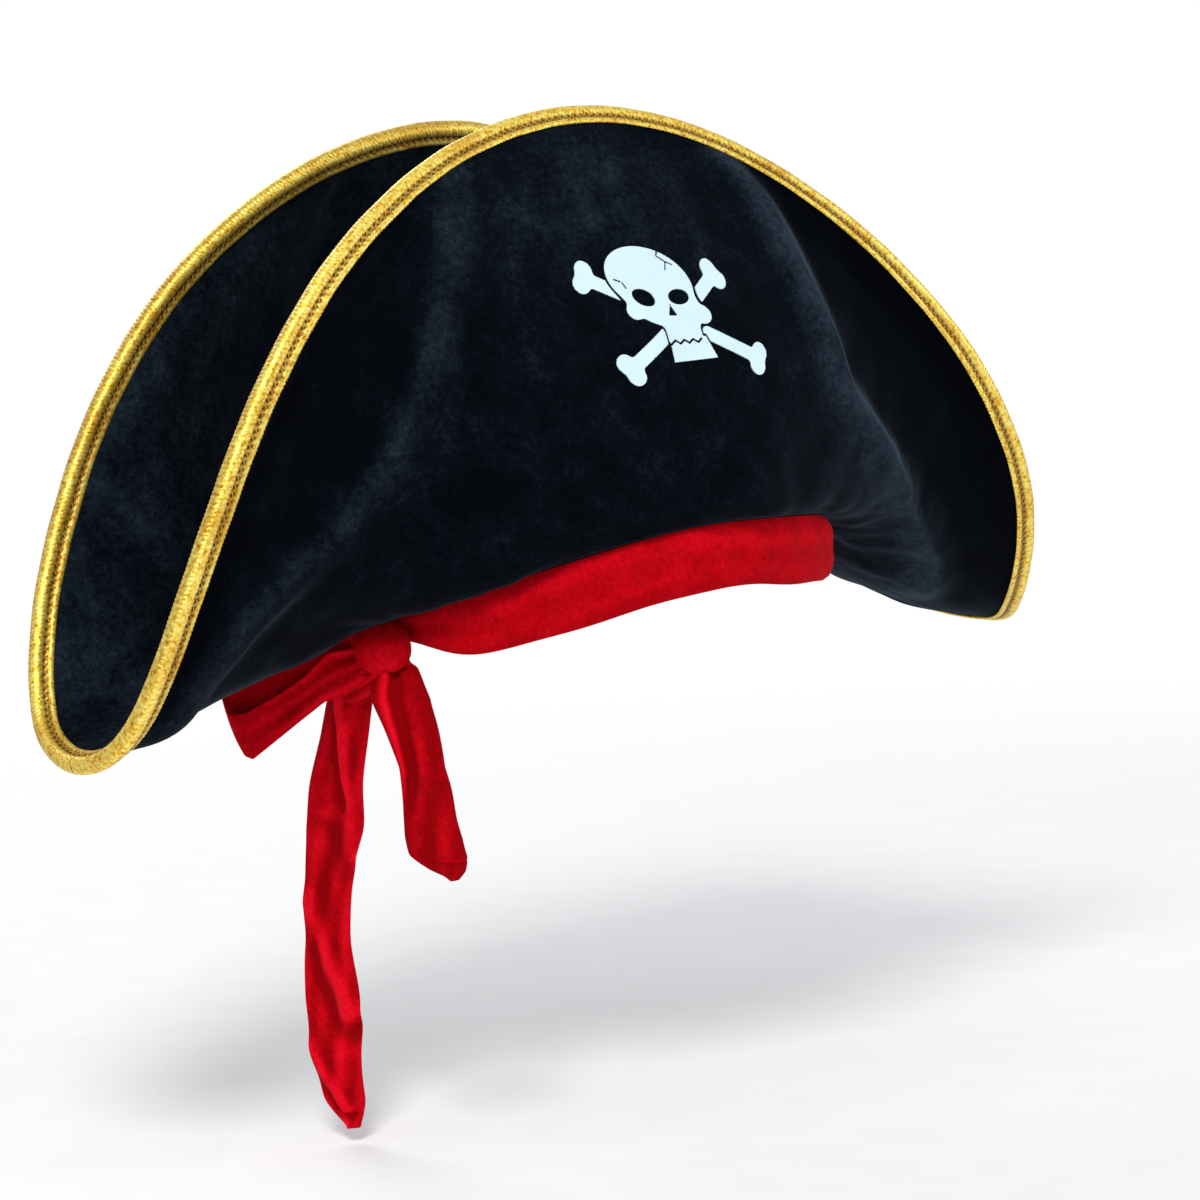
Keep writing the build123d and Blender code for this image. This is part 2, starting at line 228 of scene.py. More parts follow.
def brim_middle(u, t):
    """Mid layer of the front brim: t is 0 at the crown and 1 at the edge."""
    u, t = np.broadcast_arrays(np.asarray(u, float), np.asarray(t, float))
    angle = math.pi * (1 + u - ANGLE_CROWDING * np.sin(2 * math.pi * u))
    side = np.cos(angle) ** 2
    sides = (SIDE_SLOPE, SIDE_REACH, SIDE_BELLY)
    slope, reach, belly = (np.where(np.cos(angle) < 0, *pair) for pair in sides)
    across = (OPENING_X + ROOT_OUT) * np.cos(angle)
    deep = (OPENING_Y + ROOT_OUT) * np.sin(angle)
    root = np.stack([across, deep, BRIM_ROOT - sag(angle)], -1)
    edge = rim(u)
    out = np.stack([np.cos(angle), np.sin(angle), FOLD_LIFT - slope * side], -1)
    run = FOLD_REACH + (reach - FOLD_REACH) * side**1.5
    first = root + out * run[..., None]
    hang = np.stack([0 * angle, POUCH * np.sin(angle), belly * side - POUCH_DROP], -1)
    second = edge + (root - edge) * EDGE_PULL + hang
    s = t[..., None]
    rise = root * (1 - s) ** 3 + 3 * first * s * (1 - s) ** 2
    return rise + 3 * second * s**2 * (1 - s) + edge * s**3


def brim_frame(u, t):
    """Point, direction along the rim, towards the rim, and outward normal."""
    d = 1e-3
    point = brim_middle(u, t)
    along = unit(brim_middle(u + d, t) - brim_middle(u - d, t))
    up = point - brim_middle(u, t - d)
    normal = unit(np.cross(along, up))
    return point, along, np.cross(normal, along), normal


# ---- folds of the velvet, as a height over the brim's smooth surface

SHEET_HEIGHT = 165.0         # the brim's usual height from crown to edge
TABLE_U = 420
TABLE_T = 180
LUMP_HEIGHT = 2.6
LUMP_SIZE = 62.0
LUMP_SEED = {"front": 2.1, "back": 7.3}
CREST_INSET = 4.0
CREST_WIDTH = 10.0
WING_BLEND = 26.0
TIP_FOLD_HEIGHT = 2.2
PLEATS = 21
PLEAT_HEIGHT = 0.35

# Inner outlines of the wings, as shares of the rim's length and of the height to the rim
LEFT_WING = [(-0.029, 0.991), (0.059, 0.885), (0.116, 0.753), (0.198, 0.617), (0.254, 0.618),
             (0.287, 0.656), (0.331, 0.772), (0.375, 0.936), (0.395, 1.062)]
RIGHT_WING = [(0.565, 1.058), (0.576, 0.968), (0.589, 0.875), (0.598, 0.758), (0.611, 0.62),
              (0.632, 0.499), (0.731, 0.421), (0.845, 0.528), (0.895, 0.614), (0.945, 0.654),
              (1.02, 0.635)]
TIP_FOLD = [(-0.028, 0.974), (0.036, 0.825), (0.12, 0.661), (0.187, 0.508)]

# Each wing's outline, height of its crest, how far it is set back, and where the crest ends
WINGS = {
    "front": [(LEFT_WING, 5.0, 8.0, (0.0, 0.97)), (RIGHT_WING, 4.4, 7.0, (0.02, 0.98))],
    "back": [(LEFT_WING, 2.0, 4.0, (0.0, 0.95)), (RIGHT_WING, 2.0, 4.0, (0.02, 0.98))],
}


def through(points, count):
    """A smooth line through given points (Catmull-Rom)."""
    points = np.array(points, float)
    ends = [2 * points[0] - points[1], *points, 2 * points[-1] - points[-2]]
    padded = np.array(ends)
    place = np.linspace(0, len(points) - 1 - 1e-9, count)
    i = place.astype(int)
    f = (place - i)[:, None]
    a, b, c, d = padded[i], padded[i + 1], padded[i + 2], padded[i + 3]
    curve = 2 * b + (c - a) * f + (2 * a - 5 * b + 4 * c - d) * f**2
    return 0.5 * (curve + (3 * b - a - 3 * c + d) * f**3)


def line_distance(points, line):
    """Distance from points to a line in the flat, and where along the line the nearest place is."""
    best = np.full(points.shape[:-1], 1e9)
    where = np.zeros(points.shape[:-1])
    for k in range(len(line) - 1):
        a = line[k]
        step = line[k + 1] - a
        f = np.clip(((points - a) @ step) / (step @ step), 0, 1)
        gap = np.linalg.norm(points - a - f[..., None] * step, axis=-1)
        closer = gap < best
        best = np.where(closer, gap, best)
        where = np.where(closer, (k + f) / (len(line) - 1), where)
    return best, where


def beyond(points, line):
    """Whether points lie on the rim's side of a line that runs from left to right or reverse."""
    closed = np.vstack([line, [[line[-1, 0], 900.0], [line[0, 0], 900.0]]])
    inside = np.zeros(points.shape[:-1], bool)
    x, y = points[..., 0], points[..., 1]
    for (ax, ay), (bx, by) in zip(closed, np.roll(closed, -1, 0)):
        if ay == by:
            continue
        crosses = ((ay > y) != (by > y)) & (x < (bx - ax) * (y - ay) / (by - ay) + ax)
        inside ^= crosses
    return inside


def side_of(flat, outline):
    """Signed distance from a wing's inner outline, above 0 on the wing, and the place along it."""
    line = through(outline, 90) * [RIM_LENGTH, SHEET_HEIGHT]
    gap, where = line_distance(flat, line)
    return np.where(beyond(flat, line), gap, -gap), where


def wing_relief(flat, outline, crest, drop, ends):
    """A soft crest along a wing's inner outline, with the wing itself set back."""
    signed, where = side_of(flat, outline)
    strength = smooth((where - ends[0]) / 0.12) * smooth((ends[1] - where) / 0.15)
    hump = crest * bell((signed + CREST_INSET) / CREST_WIDTH)
    back = drop * smooth((signed + 2.0) / WING_BLEND)
    return strength * hump - back * (0.35 + 0.65 * strength)


def soft_noise(points, size, seed, octaves=3):
    """Smooth noise at points, with lumps of about this size in millimetres."""
    spots = [Vector((x / size + seed, y / size, seed)) for x, y in points.reshape(-1, 2)]
    values = [noise.fractal(spot, 0.9, 2.0, octaves) for spot in spots]
    return np.array(values).reshape(points.shape[:-1])


def relief_table(side):
    u, t = np.meshgrid(np.linspace(0, 1, TABLE_U), np.linspace(0, 1, TABLE_T), indexing="ij")
    flat = np.stack([u * RIM_LENGTH, t * SHEET_HEIGHT], -1)
    height = LUMP_HEIGHT * soft_noise(flat[::3, ::3], LUMP_SIZE, LUMP_SEED[side])
    height = np.repeat(np.repeat(height, 3, 0), 3, 1)[:TABLE_U, :TABLE_T]
    if side == "back":
        flat = flat * [-1, 1] + [RIM_LENGTH, 0]
    for wing in WINGS[side]:
        height += wing_relief(flat, *wing)
    if side == "front":
        gap, where = line_distance(flat, through(TIP_FOLD, 40) * [RIM_LENGTH, SHEET_HEIGHT])
        fade = smooth((1 - where) / 0.3) * smooth(where / 0.2)
        height += TIP_FOLD_HEIGHT * bell(gap / 6.0) * fade
    pleat = np.sin(u * 2 * math.pi * PLEATS + 2.0 * np.sin(u * 17)) * bell((t - 0.10) / 0.09)
    height = blur(height + PLEAT_HEIGHT * pleat, 6)
    calm = smooth((1 - t) / 0.11) * smooth(t / 0.08) * smooth(np.minimum(u, 1 - u) / 0.045)
    return height * calm


RELIEF = {side: relief_table(side) for side in FACING}


def relief(u, t, side):
    table = RELIEF[side]
    x = np.clip(u, 0, 1) * (TABLE_U - 1)
    y = np.clip(t, 0, 1) * (TABLE_T - 1)
    i = np.minimum(x.astype(int), TABLE_U - 2)
    j = np.minimum(y.astype(int), TABLE_T - 2)
    f, g = x - i, y - j
    low = table[i, j] * (1 - f) + table[i + 1, j] * f
    high = table[i, j + 1] * (1 - f) + table[i + 1, j + 1] * f
    return low * (1 - g) + high * g


def ridge_sheen_and_shade(flat, outline, width, ends):
    """Painted sheen along the crown's side of a ridge, and painted shade on the wing beyond it."""
    signed, where = side_of(flat, outline)
    reach = np.interp(where, np.linspace(0, 1, len(width)), width)
    strength = smooth((where - ends[0]) / 0.15) * smooth((ends[1] - where) / 0.15)
    inner = bell(np.minimum(signed + 3.0, 0) / reach) * smooth((7.0 - signed) / 9.0)
    return strength * inner - 0.42 * smooth((signed - 2.0) / 12.0)


def brim_light_and_tone(u, t, inside):
    """Painted light and shade on the brim's velvet over a random pile tone: above 0 it looks lighter,
    below 0 darker.
    """
    flat = np.stack([u * RIM_LENGTH, t * SHEET_HEIGHT], -1)
    if inside:
        # inside: painted lighter towards the rim
        painted_light_and_tone = 0.5 * smooth((t - 0.35) / 0.5) - 0.15
    else:
        # outside: painted sheen beside both ridges, painted shade on the wings, a painted highlight in
        # the flap's middle below the rim, and a darker base
        painted_light_and_tone = 1.15 * ridge_sheen_and_shade(flat, RIGHT_WING, (10.0, 14.0, 22.0, 28.0, 20.0), (-0.1, 1.1))
        painted_light_and_tone = painted_light_and_tone + 0.6 * ridge_sheen_and_shade(flat, LEFT_WING, (5.0, 6.0, 8.0, 12.0, 12.0), (0.0, 1.1))
        painted_light_and_tone = painted_light_and_tone + 0.55 * bell(np.hypot((u - 0.46) / 0.07, (t - 0.84) / 0.16)) - 0.25
    return painted_light_and_tone + 0.32 * soft_noise(flat, 20.0, 4.4 if inside else 9.1, 4)


def brim_skin(u, t, depth, side="front"):
    """The folded brim, this far in front of its mid layer."""
    u, t = np.broadcast_arrays(np.asarray(u, float), np.asarray(t, float))
    point, _, _, normal = brim_frame(u, t)
    return (point + normal * (relief(u, t, side) + depth)[..., None]) * FACING[side]


# ---- meshes

def link(name, data):
    piece = bpy.data.objects.new(name, data)
    bpy.context.scene.collection.objects.link(piece)
    return piece


def finish_mesh(name, points, quads, triangles, material, angle=38.0):
    """A closed mesh facing outwards, smooth except at edges sharper than the angle."""
    points = np.asarray(points, float) * MM
    faces = np.vstack([quads[:, :3], quads[:, [0, 2, 3]], triangles])
    a, b, c = (points[faces[:, i]] for i in range(3))
    if np.einsum("ij,ij->", a, np.cross(b, c)) < 0:
        quads = quads[:, ::-1]
        triangles = triangles[:, ::-1]
    mesh = bpy.data.meshes.new(name)
    mesh.vertices.add(len(points))
    mesh.vertices.foreach_set("co", points.ravel())
    loops = np.concatenate([quads.ravel(), triangles.ravel()]).astype(np.int32)
    starts = np.concatenate([np.arange(len(quads)) * 4, quads.size + np.arange(len(triangles)) * 3])
    mesh.loops.add(len(loops))
    mesh.loops.foreach_set("vertex_index", loops)
    mesh.polygons.add(len(starts))
    mesh.polygons.foreach_set("loop_start", starts.astype(np.int32))
    mesh.update(calc_edges=True)
    mesh.polygons.foreach_set("use_smooth", np.ones(len(starts), bool))
    mesh.set_sharp_from_angle(angle=math.radians(angle))
    mesh.materials.append(material)
    return link(name, mesh)


NO_TRIANGLES = np.zeros((0, 3), int)


def shell(name, first, second, material):
    """A closed sheet between two grids of points of the same layout."""
    rows, columns = first.shape[:2]
    index = np.arange(rows * columns).reshape(rows, columns)
    a, b, c, d = index[:-1, :-1], index[1:, :-1], index[1:, 1:], index[:-1, 1:]
    top = np.stack([a, b, c, d], -1).reshape(-1, 4)
    bottom = top[:, ::-1] + rows * columns
    border = np.concatenate([index[0, :], index[1:, -1], index[-1, -2::-1], index[-2:0:-1, 0]])
    after = np.roll(border, -1)
    sides = np.stack([border, after, after + rows * columns, border + rows * columns], -1)
    points = np.concatenate([first.reshape(-1, 3), second.reshape(-1, 3)])
    quads = np.concatenate([top, bottom, sides])
    return finish_mesh(name, points, quads, NO_TRIANGLES, material)


def loft_parts(rings, closed=False):
    """Points and faces of a tube through closed rings. closed joins the last ring to the first."""
    rings = np.asarray(rings, float)
    count, around = rings.shape[:2]
    index = np.arange(count * around).reshape(count, around)
    beside = np.roll(index, -1, 1)
    rows = count if closed else count - 1
    corners = [index, beside, np.roll(beside, -1, 0), np.roll(index, -1, 0)]
    quads = np.stack([corner[:rows] for corner in corners], -1).reshape(-1, 4)
    points = rings.reshape(-1, 3)
    if closed:
        return points, quads, NO_TRIANGLES
    low, high = len(points), len(points) + 1
    points = np.vstack([points, rings[0].mean(0), rings[-1].mean(0)])
    start = np.stack([np.full(around, low), beside[0], index[0]], -1)
    stop = np.stack([np.full(around, high), index[-1], beside[-1]], -1)
    return points, quads, np.concatenate([start, stop])


def loft(name, rings, material, closed=False, angle=38.0):
    return finish_mesh(name, *loft_parts(rings, closed), material, angle)


def around_head(angle, radius, z):
    return np.stack([radius * np.cos(angle), radius * np.sin(angle), z], -1)


def head_strip(name, outer, inner, material):
    """A closed strip round the head between two grids of points (angle, height)."""
    return loft(name, np.concatenate([outer, inner[:, ::-1]], 1), material, closed=True)


def several(name, parts, material):
    """One piece out of several closed tubes."""
    bases = np.cumsum([0] + [len(points) for points, _, _ in parts])
    quads = [q + base for (_, q, _), base in zip(parts, bases)]
    triangles = [t + base for (_, _, t), base in zip(parts, bases)]
    points = np.concatenate([points for points, _, _ in parts])
    return finish_mesh(name, points, np.concatenate(quads), np.concatenate(triangles), material)


def paint(piece, name, values):
    """A value at each point of a mesh, for its material to read."""
    layer = piece.data.attributes.new(name, "FLOAT", "POINT")
    layer.data.foreach_set("value", np.asarray(values, np.float32))


def fold_highlight_and_shade(depth, size, strength, wrap=True):
    """A painted highlight on a fold's crest and painted shade in the hollow beside it."""
    return strength * (depth - blur(depth.copy(), size, wrap))


def settle(piece, body, slot, *nodes):
    """The body a piece rides on, its material slot (not used), and the CAD pieces it stands for."""
    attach(piece, body)
    if nodes:
        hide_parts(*nodes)


# ---- materials

def feed(tree, node, inputs):
    """Give each named input its constant or its link."""
    for key, value in inputs.items():
        if isinstance(value, bpy.types.NodeSocket):
            tree.links.new(value, node.inputs[key])
        else:
            node.inputs[key].default_value = value


def add(tree, kind, inputs, output, **settings):
    """A new node with its own settings and inputs; gives back one output."""
    node = tree.nodes.new(kind)
    for key, value in settings.items():
        setattr(node, key, value)
    feed(tree, node, inputs)
    return node.outputs[output]


def nodes_of(name):
    material = bpy.data.materials.new(name)
    material.use_nodes = True
    return material, material.node_tree, material.node_tree.nodes["Principled BSDF"]


def place(tree, scale=(1, 1, 1), turn=(0, 0, 0)):
    where = add(tree, "ShaderNodeTexCoord", {}, "Object")
    inputs = {"Vector": where, "Scale": scale, "Rotation": turn}
    return add(tree, "ShaderNodeMapping", inputs, "Vector")


def speckle(tree, where, scale, detail, roughness, distortion=0.0):
    inputs = {"Vector": where, "Scale": scale, "Detail": detail, "Roughness": roughness}
    return add(tree, "ShaderNodeTexNoise", inputs | {"Distortion": distortion}, "Fac")


def stripes(tree, where, scale, direction):
    inputs = {"Vector": where, "Scale": scale, "Distortion": 0.4}
    bands = {"wave_type": "BANDS", "bands_direction": direction}
    return add(tree, "ShaderNodeTexWave", inputs, "Fac", **bands)


def combine(tree, operation, first, second):
    return add(tree, "ShaderNodeMath", {0: first, 1: second}, 0, operation=operation)


def weighted(tree, parts):
    """The sum of several values, each times its weight."""
    products = [combine(tree, "MULTIPLY", value, weight) for value, weight in parts]
    total = products[0]
    for product in products[1:]:
        total = combine(tree, "ADD", total, product)
    return total


def ramp(tree, factor, stops):
    node = tree.nodes.new("ShaderNodeValToRGB")
    while len(node.color_ramp.elements) < len(stops):
        node.color_ramp.elements.new(0.5)
    for element, (position, colour) in zip(node.color_ramp.elements, stops):
        element.position = position
        element.color = (*colour, 1)
    tree.links.new(factor, node.inputs["Fac"])
    return node.outputs["Color"]


def blend_colour(tree, factor, first, second, kind="MIX"):
    inputs = {"Factor": factor, 6: first, 7: second}
    return add(tree, "ShaderNodeMix", inputs, 2, data_type="RGBA", blend_type=kind)


def value_range(tree, factor, low, high):
    inputs = {"Value": factor, "To Min": low, "To Max": high}
    return add(tree, "ShaderNodeMapRange", inputs, "Result")


def bump(tree, height, distance, strength, before=None):
    inputs = {"Height": height, "Distance": distance, "Strength": strength}
    if before is not None:
        inputs["Normal"] = before
    return add(tree, "ShaderNodeBump", inputs, "Normal")


def velvet(name, shades, spread, tint, sheen, patch):
    """Cut pile: brushed patches, short pile marks, painted light and shade read from an attribute, and a
    glow at grazing angles.
    """
    material, tree, shader = nodes_of(name)
    where = place(tree)
    patches = speckle(tree, where, patch, 5.0, 0.6, 0.6)
    marks = speckle(tree, where, patch * 7, 4.0, 0.6, 0.3)
    pile = speckle(tree, where, 1500.0, 2.0, 0.7)
    painted_light_and_tone = add(tree, "ShaderNodeAttribute", {}, "Fac", attribute_name="painted_light_and_tone")
    mixed = weighted(tree, [(patches, 0.32), (marks, 0.40), (pile, 0.28), (painted_light_and_tone, 0.25)])
    places = [0.5 + step * spread for step in SHADE_STEPS]
    feed(tree, shader, {
        "Base Color": ramp(tree, mixed, list(zip(places, shades))),
        "Roughness": value_range(tree, marks, 0.76, 0.98),
        "Specular IOR Level": 0.03,
        "Sheen Weight": sheen,
        "Sheen Roughness": 0.34,
        "Sheen Tint": (*tint, 1),
        "Normal": bump(tree, pile, 0.00025, 0.6, bump(tree, marks, 0.0006, 0.5)),
    })
    return material


def gold_braid():
    """Metallic braid: bright on its raised parts, with painted shade in brown in the stitched groove and
    between the ribs.
    """
    material, tree, shader = nodes_of("gold_braid")
    where = place(tree)
    fleck = speckle(tree, where, 620.0, 3.0, 0.65)
    drift = speckle(tree, where, 45.0, 3.0, 0.5)
    groove_shade = add(tree, "ShaderNodeAttribute", {}, "Fac", attribute_name="groove_shade")
    bright = ramp(tree, fleck, [(0.32, GOLD_DARK), (0.44, GOLD_MIDDLE), (0.58, GOLD_LIGHT)])
    warm = ramp(tree, drift, [(0.30, GOLD_WARMTH), (0.52, (1.0, 1.0, 1.0))])
    tinted = blend_colour(tree, 1.0, bright, warm, "MULTIPLY")
    feed(tree, shader, {
        "Base Color": blend_colour(tree, groove_shade, tinted, (*GROOVE_SHADE_BROWN, 1)),
        "Metallic": 0.55,
        "Specular IOR Level": value_range(tree, groove_shade, 0.5, 0.1),
        "Roughness": value_range(tree, fleck, 0.24, 0.52),
        "Normal": bump(tree, fleck, 0.0004, 0.8),
    })
    return material


def print_white():
    material, tree, shader = nodes_of("white_print")
    where = place(tree)
    grain = speckle(tree, where, 900.0, 3.0, 0.6)
    wash = speckle(tree, where, 60.0, 4.0, 0.5)
    feed(tree, shader, {
        "Base Color": ramp(tree, wash, [(0.3, (0.56, 0.74, 0.79)), (0.7, (0.62, 0.80, 0.85))]),
        "Roughness": value_range(tree, grain, 0.35, 0.55),
        "Normal": bump(tree, grain, 0.0001, 0.5),
    })
    return material


def woven(name, dark, light, scale, roughness, distance, turn=0.0, sheen=0.0):
    """A plain weave or twill from two crossed sets of threads."""
    material, tree, shader = nodes_of(name)
    where = place(tree, turn=(0, 0, turn))
    warp = stripes(tree, where, scale, "Z")
    weft = stripes(tree, where, scale * 0.9, "DIAGONAL")
    drift = speckle(tree, where, 90.0, 4.0, 0.6)
    threads = combine(tree, "MULTIPLY", warp, weft)
    mixed = weighted(tree, [(threads, 0.5), (drift, 0.5)])
    feed(tree, shader, {
        "Base Color": ramp(tree, mixed, [(0.2, dark), (0.75, light)]),
        "Roughness": value_range(tree, drift, roughness - 0.1, roughness + 0.1),
        "Sheen Weight": sheen,
        "Normal": bump(tree, threads, distance, 0.7),
    })
    return material


def steel_wire():
    material, tree, shader = nodes_of("edge_wire")
    draw = speckle(tree, place(tree), 400.0, 3.0, 0.6)
    feed(tree, shader, {
        "Base Color": ramp(tree, draw, [(0.3, (0.32, 0.33, 0.35)), (0.7, (0.55, 0.56, 0.58))]),
        "Metallic": 1.0,
        "Roughness": value_range(tree, draw, 0.3, 0.5),
    })
    return material


# Velvet colours from dark to light; painted light and shade move the colour along these steps, on top of
# the random pile tone.
BLACK_SHADES = [(0.0005, 0.0011, 0.0026), (0.0016, 0.0034, 0.0066), (0.0062, 0.0105, 0.0170),
                (0.0190, 0.0300, 0.0440)]
RED_SHADES = [(0.26, 0.0002, 0.0022), (0.44, 0.0006, 0.0050), (0.66, 0.0020, 0.0110),
              (0.86, 0.0080, 0.0260)]
SHADE_STEPS = (-0.12, 0.0, 0.12, 0.28)
GOLD_DARK = (0.46, 0.19, 0.006)
GOLD_MIDDLE = (0.90, 0.56, 0.040)
GOLD_LIGHT = (1.0, 0.84, 0.20)
GOLD_WARMTH = (0.84, 0.68, 0.48)
# Brown for the painted shade in the braid's groove.
GROOVE_SHADE_BROWN = (0.115, 0.032, 0.002)
BLACK_VELVET = velvet("black_velvet", BLACK_SHADES, 1.0, (0.42, 0.60, 0.82), 0.12, 58.0)
RED_VELVET = velvet("red_velvet", RED_SHADES, 1.5, (1.0, 0.05, 0.08), 0.30, 80.0)
GOLD = gold_braid()
PRINT = print_white()
SATIN = woven("lining_satin", (0.006, 0.006, 0.008), (0.030, 0.031, 0.036), 900.0, 0.34, 0.00008)
TWILL = woven("sweatband_cotton", (0.012, 0.012, 0.014), (0.060, 0.060, 0.066), 420.0, 0.8, 0.0002,
              turn=0.6, sheen=0.2)
FELT = woven("stiffener_felt", (0.02, 0.02, 0.02), (0.08, 0.08, 0.08), 300.0, 0.95, 0.0002)
TAPE = woven("label_tape", (0.62, 0.62, 0.60), (0.86, 0.86, 0.84), 800.0, 0.5, 0.00006)
THREAD = woven("gold_thread", (0.30, 0.13, 0.012), (0.85, 0.52, 0.09), 1200.0, 0.42, 0.0001)
WIRE = steel_wire()


# ---- camera, light and floor

FLOOR_DARK = (0.91, 0.91, 0.915)
FLOOR_LIGHT = (0.93, 0.93, 0.935)
FLOOR_SIZE = 3.0
FLOOR_GAP = 0.006
FLOOR_FADE = (0.45, 1.5)     # the floor fades between these distances from the hat
SKY_STRENGTH = 0.55
LAMPS = [
    ("key", (-1.3, -1.2, 1.5), 0.7, 34.0, (1.0, 0.98, 0.95)),
    ("fill", (1.5, -1.3, 0.5), 1.2, 9.0, (0.92, 0.96, 1.0)),
    ("rear", (0.3, 1.7, 1.2), 1.0, 12.0, (1.0, 1.0, 1.0)),
]


def make_camera():
    flat = math.cos(VIEW_RISE)
    back = Vector((-math.sin(VIEW_TURN) * flat, -math.cos(VIEW_TURN) * flat, math.sin(VIEW_RISE)))
    right = Vector((math.cos(VIEW_TURN), -math.sin(VIEW_TURN), 0))
    up = back.cross(right)
    across = right * math.cos(VIEW_ROLL) + up * math.sin(VIEW_ROLL)
    upward = up * math.cos(VIEW_ROLL) - right * math.sin(VIEW_ROLL)
    spot = (across * VIEW_SIDE + upward * VIEW_UP + back * VIEW_DISTANCE) * MM
    data = bpy.data.cameras.new("camera")
    data.lens = LENS
    data.sensor_width = 36.0
    data.clip_end = 50.0
    camera = link("camera", data)
    turned = Matrix((across, upward, back)).transposed().to_4x4()
    camera.matrix_world = Matrix.Translation(spot) @ turned
    bpy.context.scene.camera = camera


def soft_light(name, spot, size, power, colour):
    data = bpy.data.lights.new(name, "AREA")
    data.shape = "DISK"
    data.size = size
    data.energy = power
    data.color = colour
    light = link(name, data)
    light.location = spot
    light.rotation_euler = (-Vector(spot)).to_track_quat("-Z", "Y").to_euler()


def make_world():
    """Even white paper for the camera, a dimmer cool sky for the light on the hat."""
    world = bpy.data.worlds.new("studio")
    world.use_nodes = True
    tree = world.node_tree
    sky = tree.nodes["Background"]
    feed(tree, sky, {"Color": (0.95, 0.97, 1.0, 1), "Strength": SKY_STRENGTH})
    paper = add(tree, "ShaderNodeBackground", {"Color": (1.0, 1.0, 1.0, 1)}, 0)
    seen = add(tree, "ShaderNodeLightPath", {}, "Is Camera Ray")
    either = add(tree, "ShaderNodeMixShader", {0: seen, 1: sky.outputs[0], 2: paper}, 0)
    tree.links.new(either, tree.nodes["World Output"].inputs["Surface"])
    bpy.context.scene.world = world
    bpy.context.scene.view_settings.view_transform = "Standard"


def make_floor():
    """A pale floor under the lowest point that fades out into the paper."""
    low = CAD_BOX[0].z - FLOOR_GAP
    signs = ((-1, -1), (1, -1), (1, 1), (-1, 1))
    corners = [(x * FLOOR_SIZE, y * FLOOR_SIZE, low) for x, y in signs]
    mesh = bpy.data.meshes.new("floor")
    mesh.from_pydata(corners, [], [(0, 1, 2, 3)])
    material, tree, shader = nodes_of("floor")
    grain = speckle(tree, place(tree), 30.0, 3.0, 0.5)
    flat = place(tree, scale=(1, 1, 0))
    far = add(tree, "ShaderNodeVectorMath", {0: flat}, "Value", operation="LENGTH")
    near, end = FLOOR_FADE
    fade = {"Value": far, "From Min": near, "From Max": end, "To Min": 1.0, "To Max": 0.0}
    feed(tree, shader, {
        "Base Color": ramp(tree, grain, [(0.3, FLOOR_DARK), (0.7, FLOOR_LIGHT)]),
        "Roughness": 0.9,
        "Specular IOR Level": 0.0,
        "Alpha": add(tree, "ShaderNodeMapRange", fade, "Result", interpolation_type="SMOOTHSTEP"),
    })
    mesh.materials.append(material)
    link("floor", mesh)


# ---- brim: two cloths over a stiffener, in front and behind

SIDE_SEAM = 0.0007           # share of the rim left open at each side seam
ROOT_GAP = 0.004             # share of the height left open at the crown


def swing(piece, side, slot, *nodes):
    """Bake a brim piece's transform into its mesh; its slot (not used) and the CAD pieces it stands for.
    """
    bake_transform(piece)
    if nodes:
        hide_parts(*nodes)


def rim_nodes(side, what):
    """CAD pieces along a flap's rim; those in front take in the two tips."""
    tips = [f"{tip}_tip_{what}" for tip in ("left", "right")] if side == "front" else []
    return [f"{side}_flap_{what}", *tips]


def cloth_area(grid):
    """Area in square metres of a sheet given by a grid of points in millimetres."""
    across = grid[1:, :-1] - grid[:-1, :-1]
    up = grid[:-1, 1:] - grid[:-1, :-1]
    return float(np.linalg.norm(np.cross(across, up), axis=-1).sum()) * MM * MM


BRIM_AREA = cloth_area(brim_middle(np.linspace(0, 1, 200)[:, None], np.linspace(0, 1, 60)[None, :]))


def brim_layer(side, layer, depth, thick, columns, rows, material, slot):
    u = np.linspace(SIDE_SEAM, 1 - SIDE_SEAM, columns)[:, None]
    t = np.linspace(ROOT_GAP, 1.0, rows)[None, :]
    behind, before = (brim_skin(u, t, depth + step, side) for step in (0, thick))
    piece = shell(f"{side}_{layer}", behind, before, material)
    if material == BLACK_VELVET:
        # painted light and shade, with random pile tone, on both faces of the velvet
        painted_light_and_tone = brim_light_and_tone(*np.broadcast_arrays(u, t), layer == "inner_cloth").ravel()
        paint(piece, "painted_light_and_tone", np.concatenate([painted_light_and_tone, painted_light_and_tone]))
    swing(piece, side, slot, f"{side}_brim_{layer}", f"{side}_flap_{layer}")


def make_brim():
    half = STIFFENER_THICK / 2
    cloth = (CLOTH_THICK, 320, 120, BLACK_VELVET, "black_velvet")
    for side in FACING:
        brim_layer(side, "outer_cloth", half + LAYER_GAP, *cloth)
        brim_layer(side, "stiffener", -half, STIFFENER_THICK, 160, 60, FELT, "stiffener_felt")
        brim_layer(side, "inner_cloth", -half - LAYER_GAP - CLOTH_THICK, *cloth)


# Binding: a folded braid with a rounded top over the wire, a stitched groove and a rolled hem.
# Its section is given on one side as (out from the cloth, up from the rim).
BRAID = [(2.12, -4.45), (2.55, -4.62), (3.0, -4.25), (3.2, -3.5), (3.1, -2.7), (2.75, -2.1),
         (2.46, -1.55), (2.42, -0.95), (2.68, -0.4), (3.12, 0.15), (3.4, 0.9), (3.5, 1.8),
         (3.25, 2.8), (2.65, 3.7), (1.6, 4.35), (0.0, 4.6)]
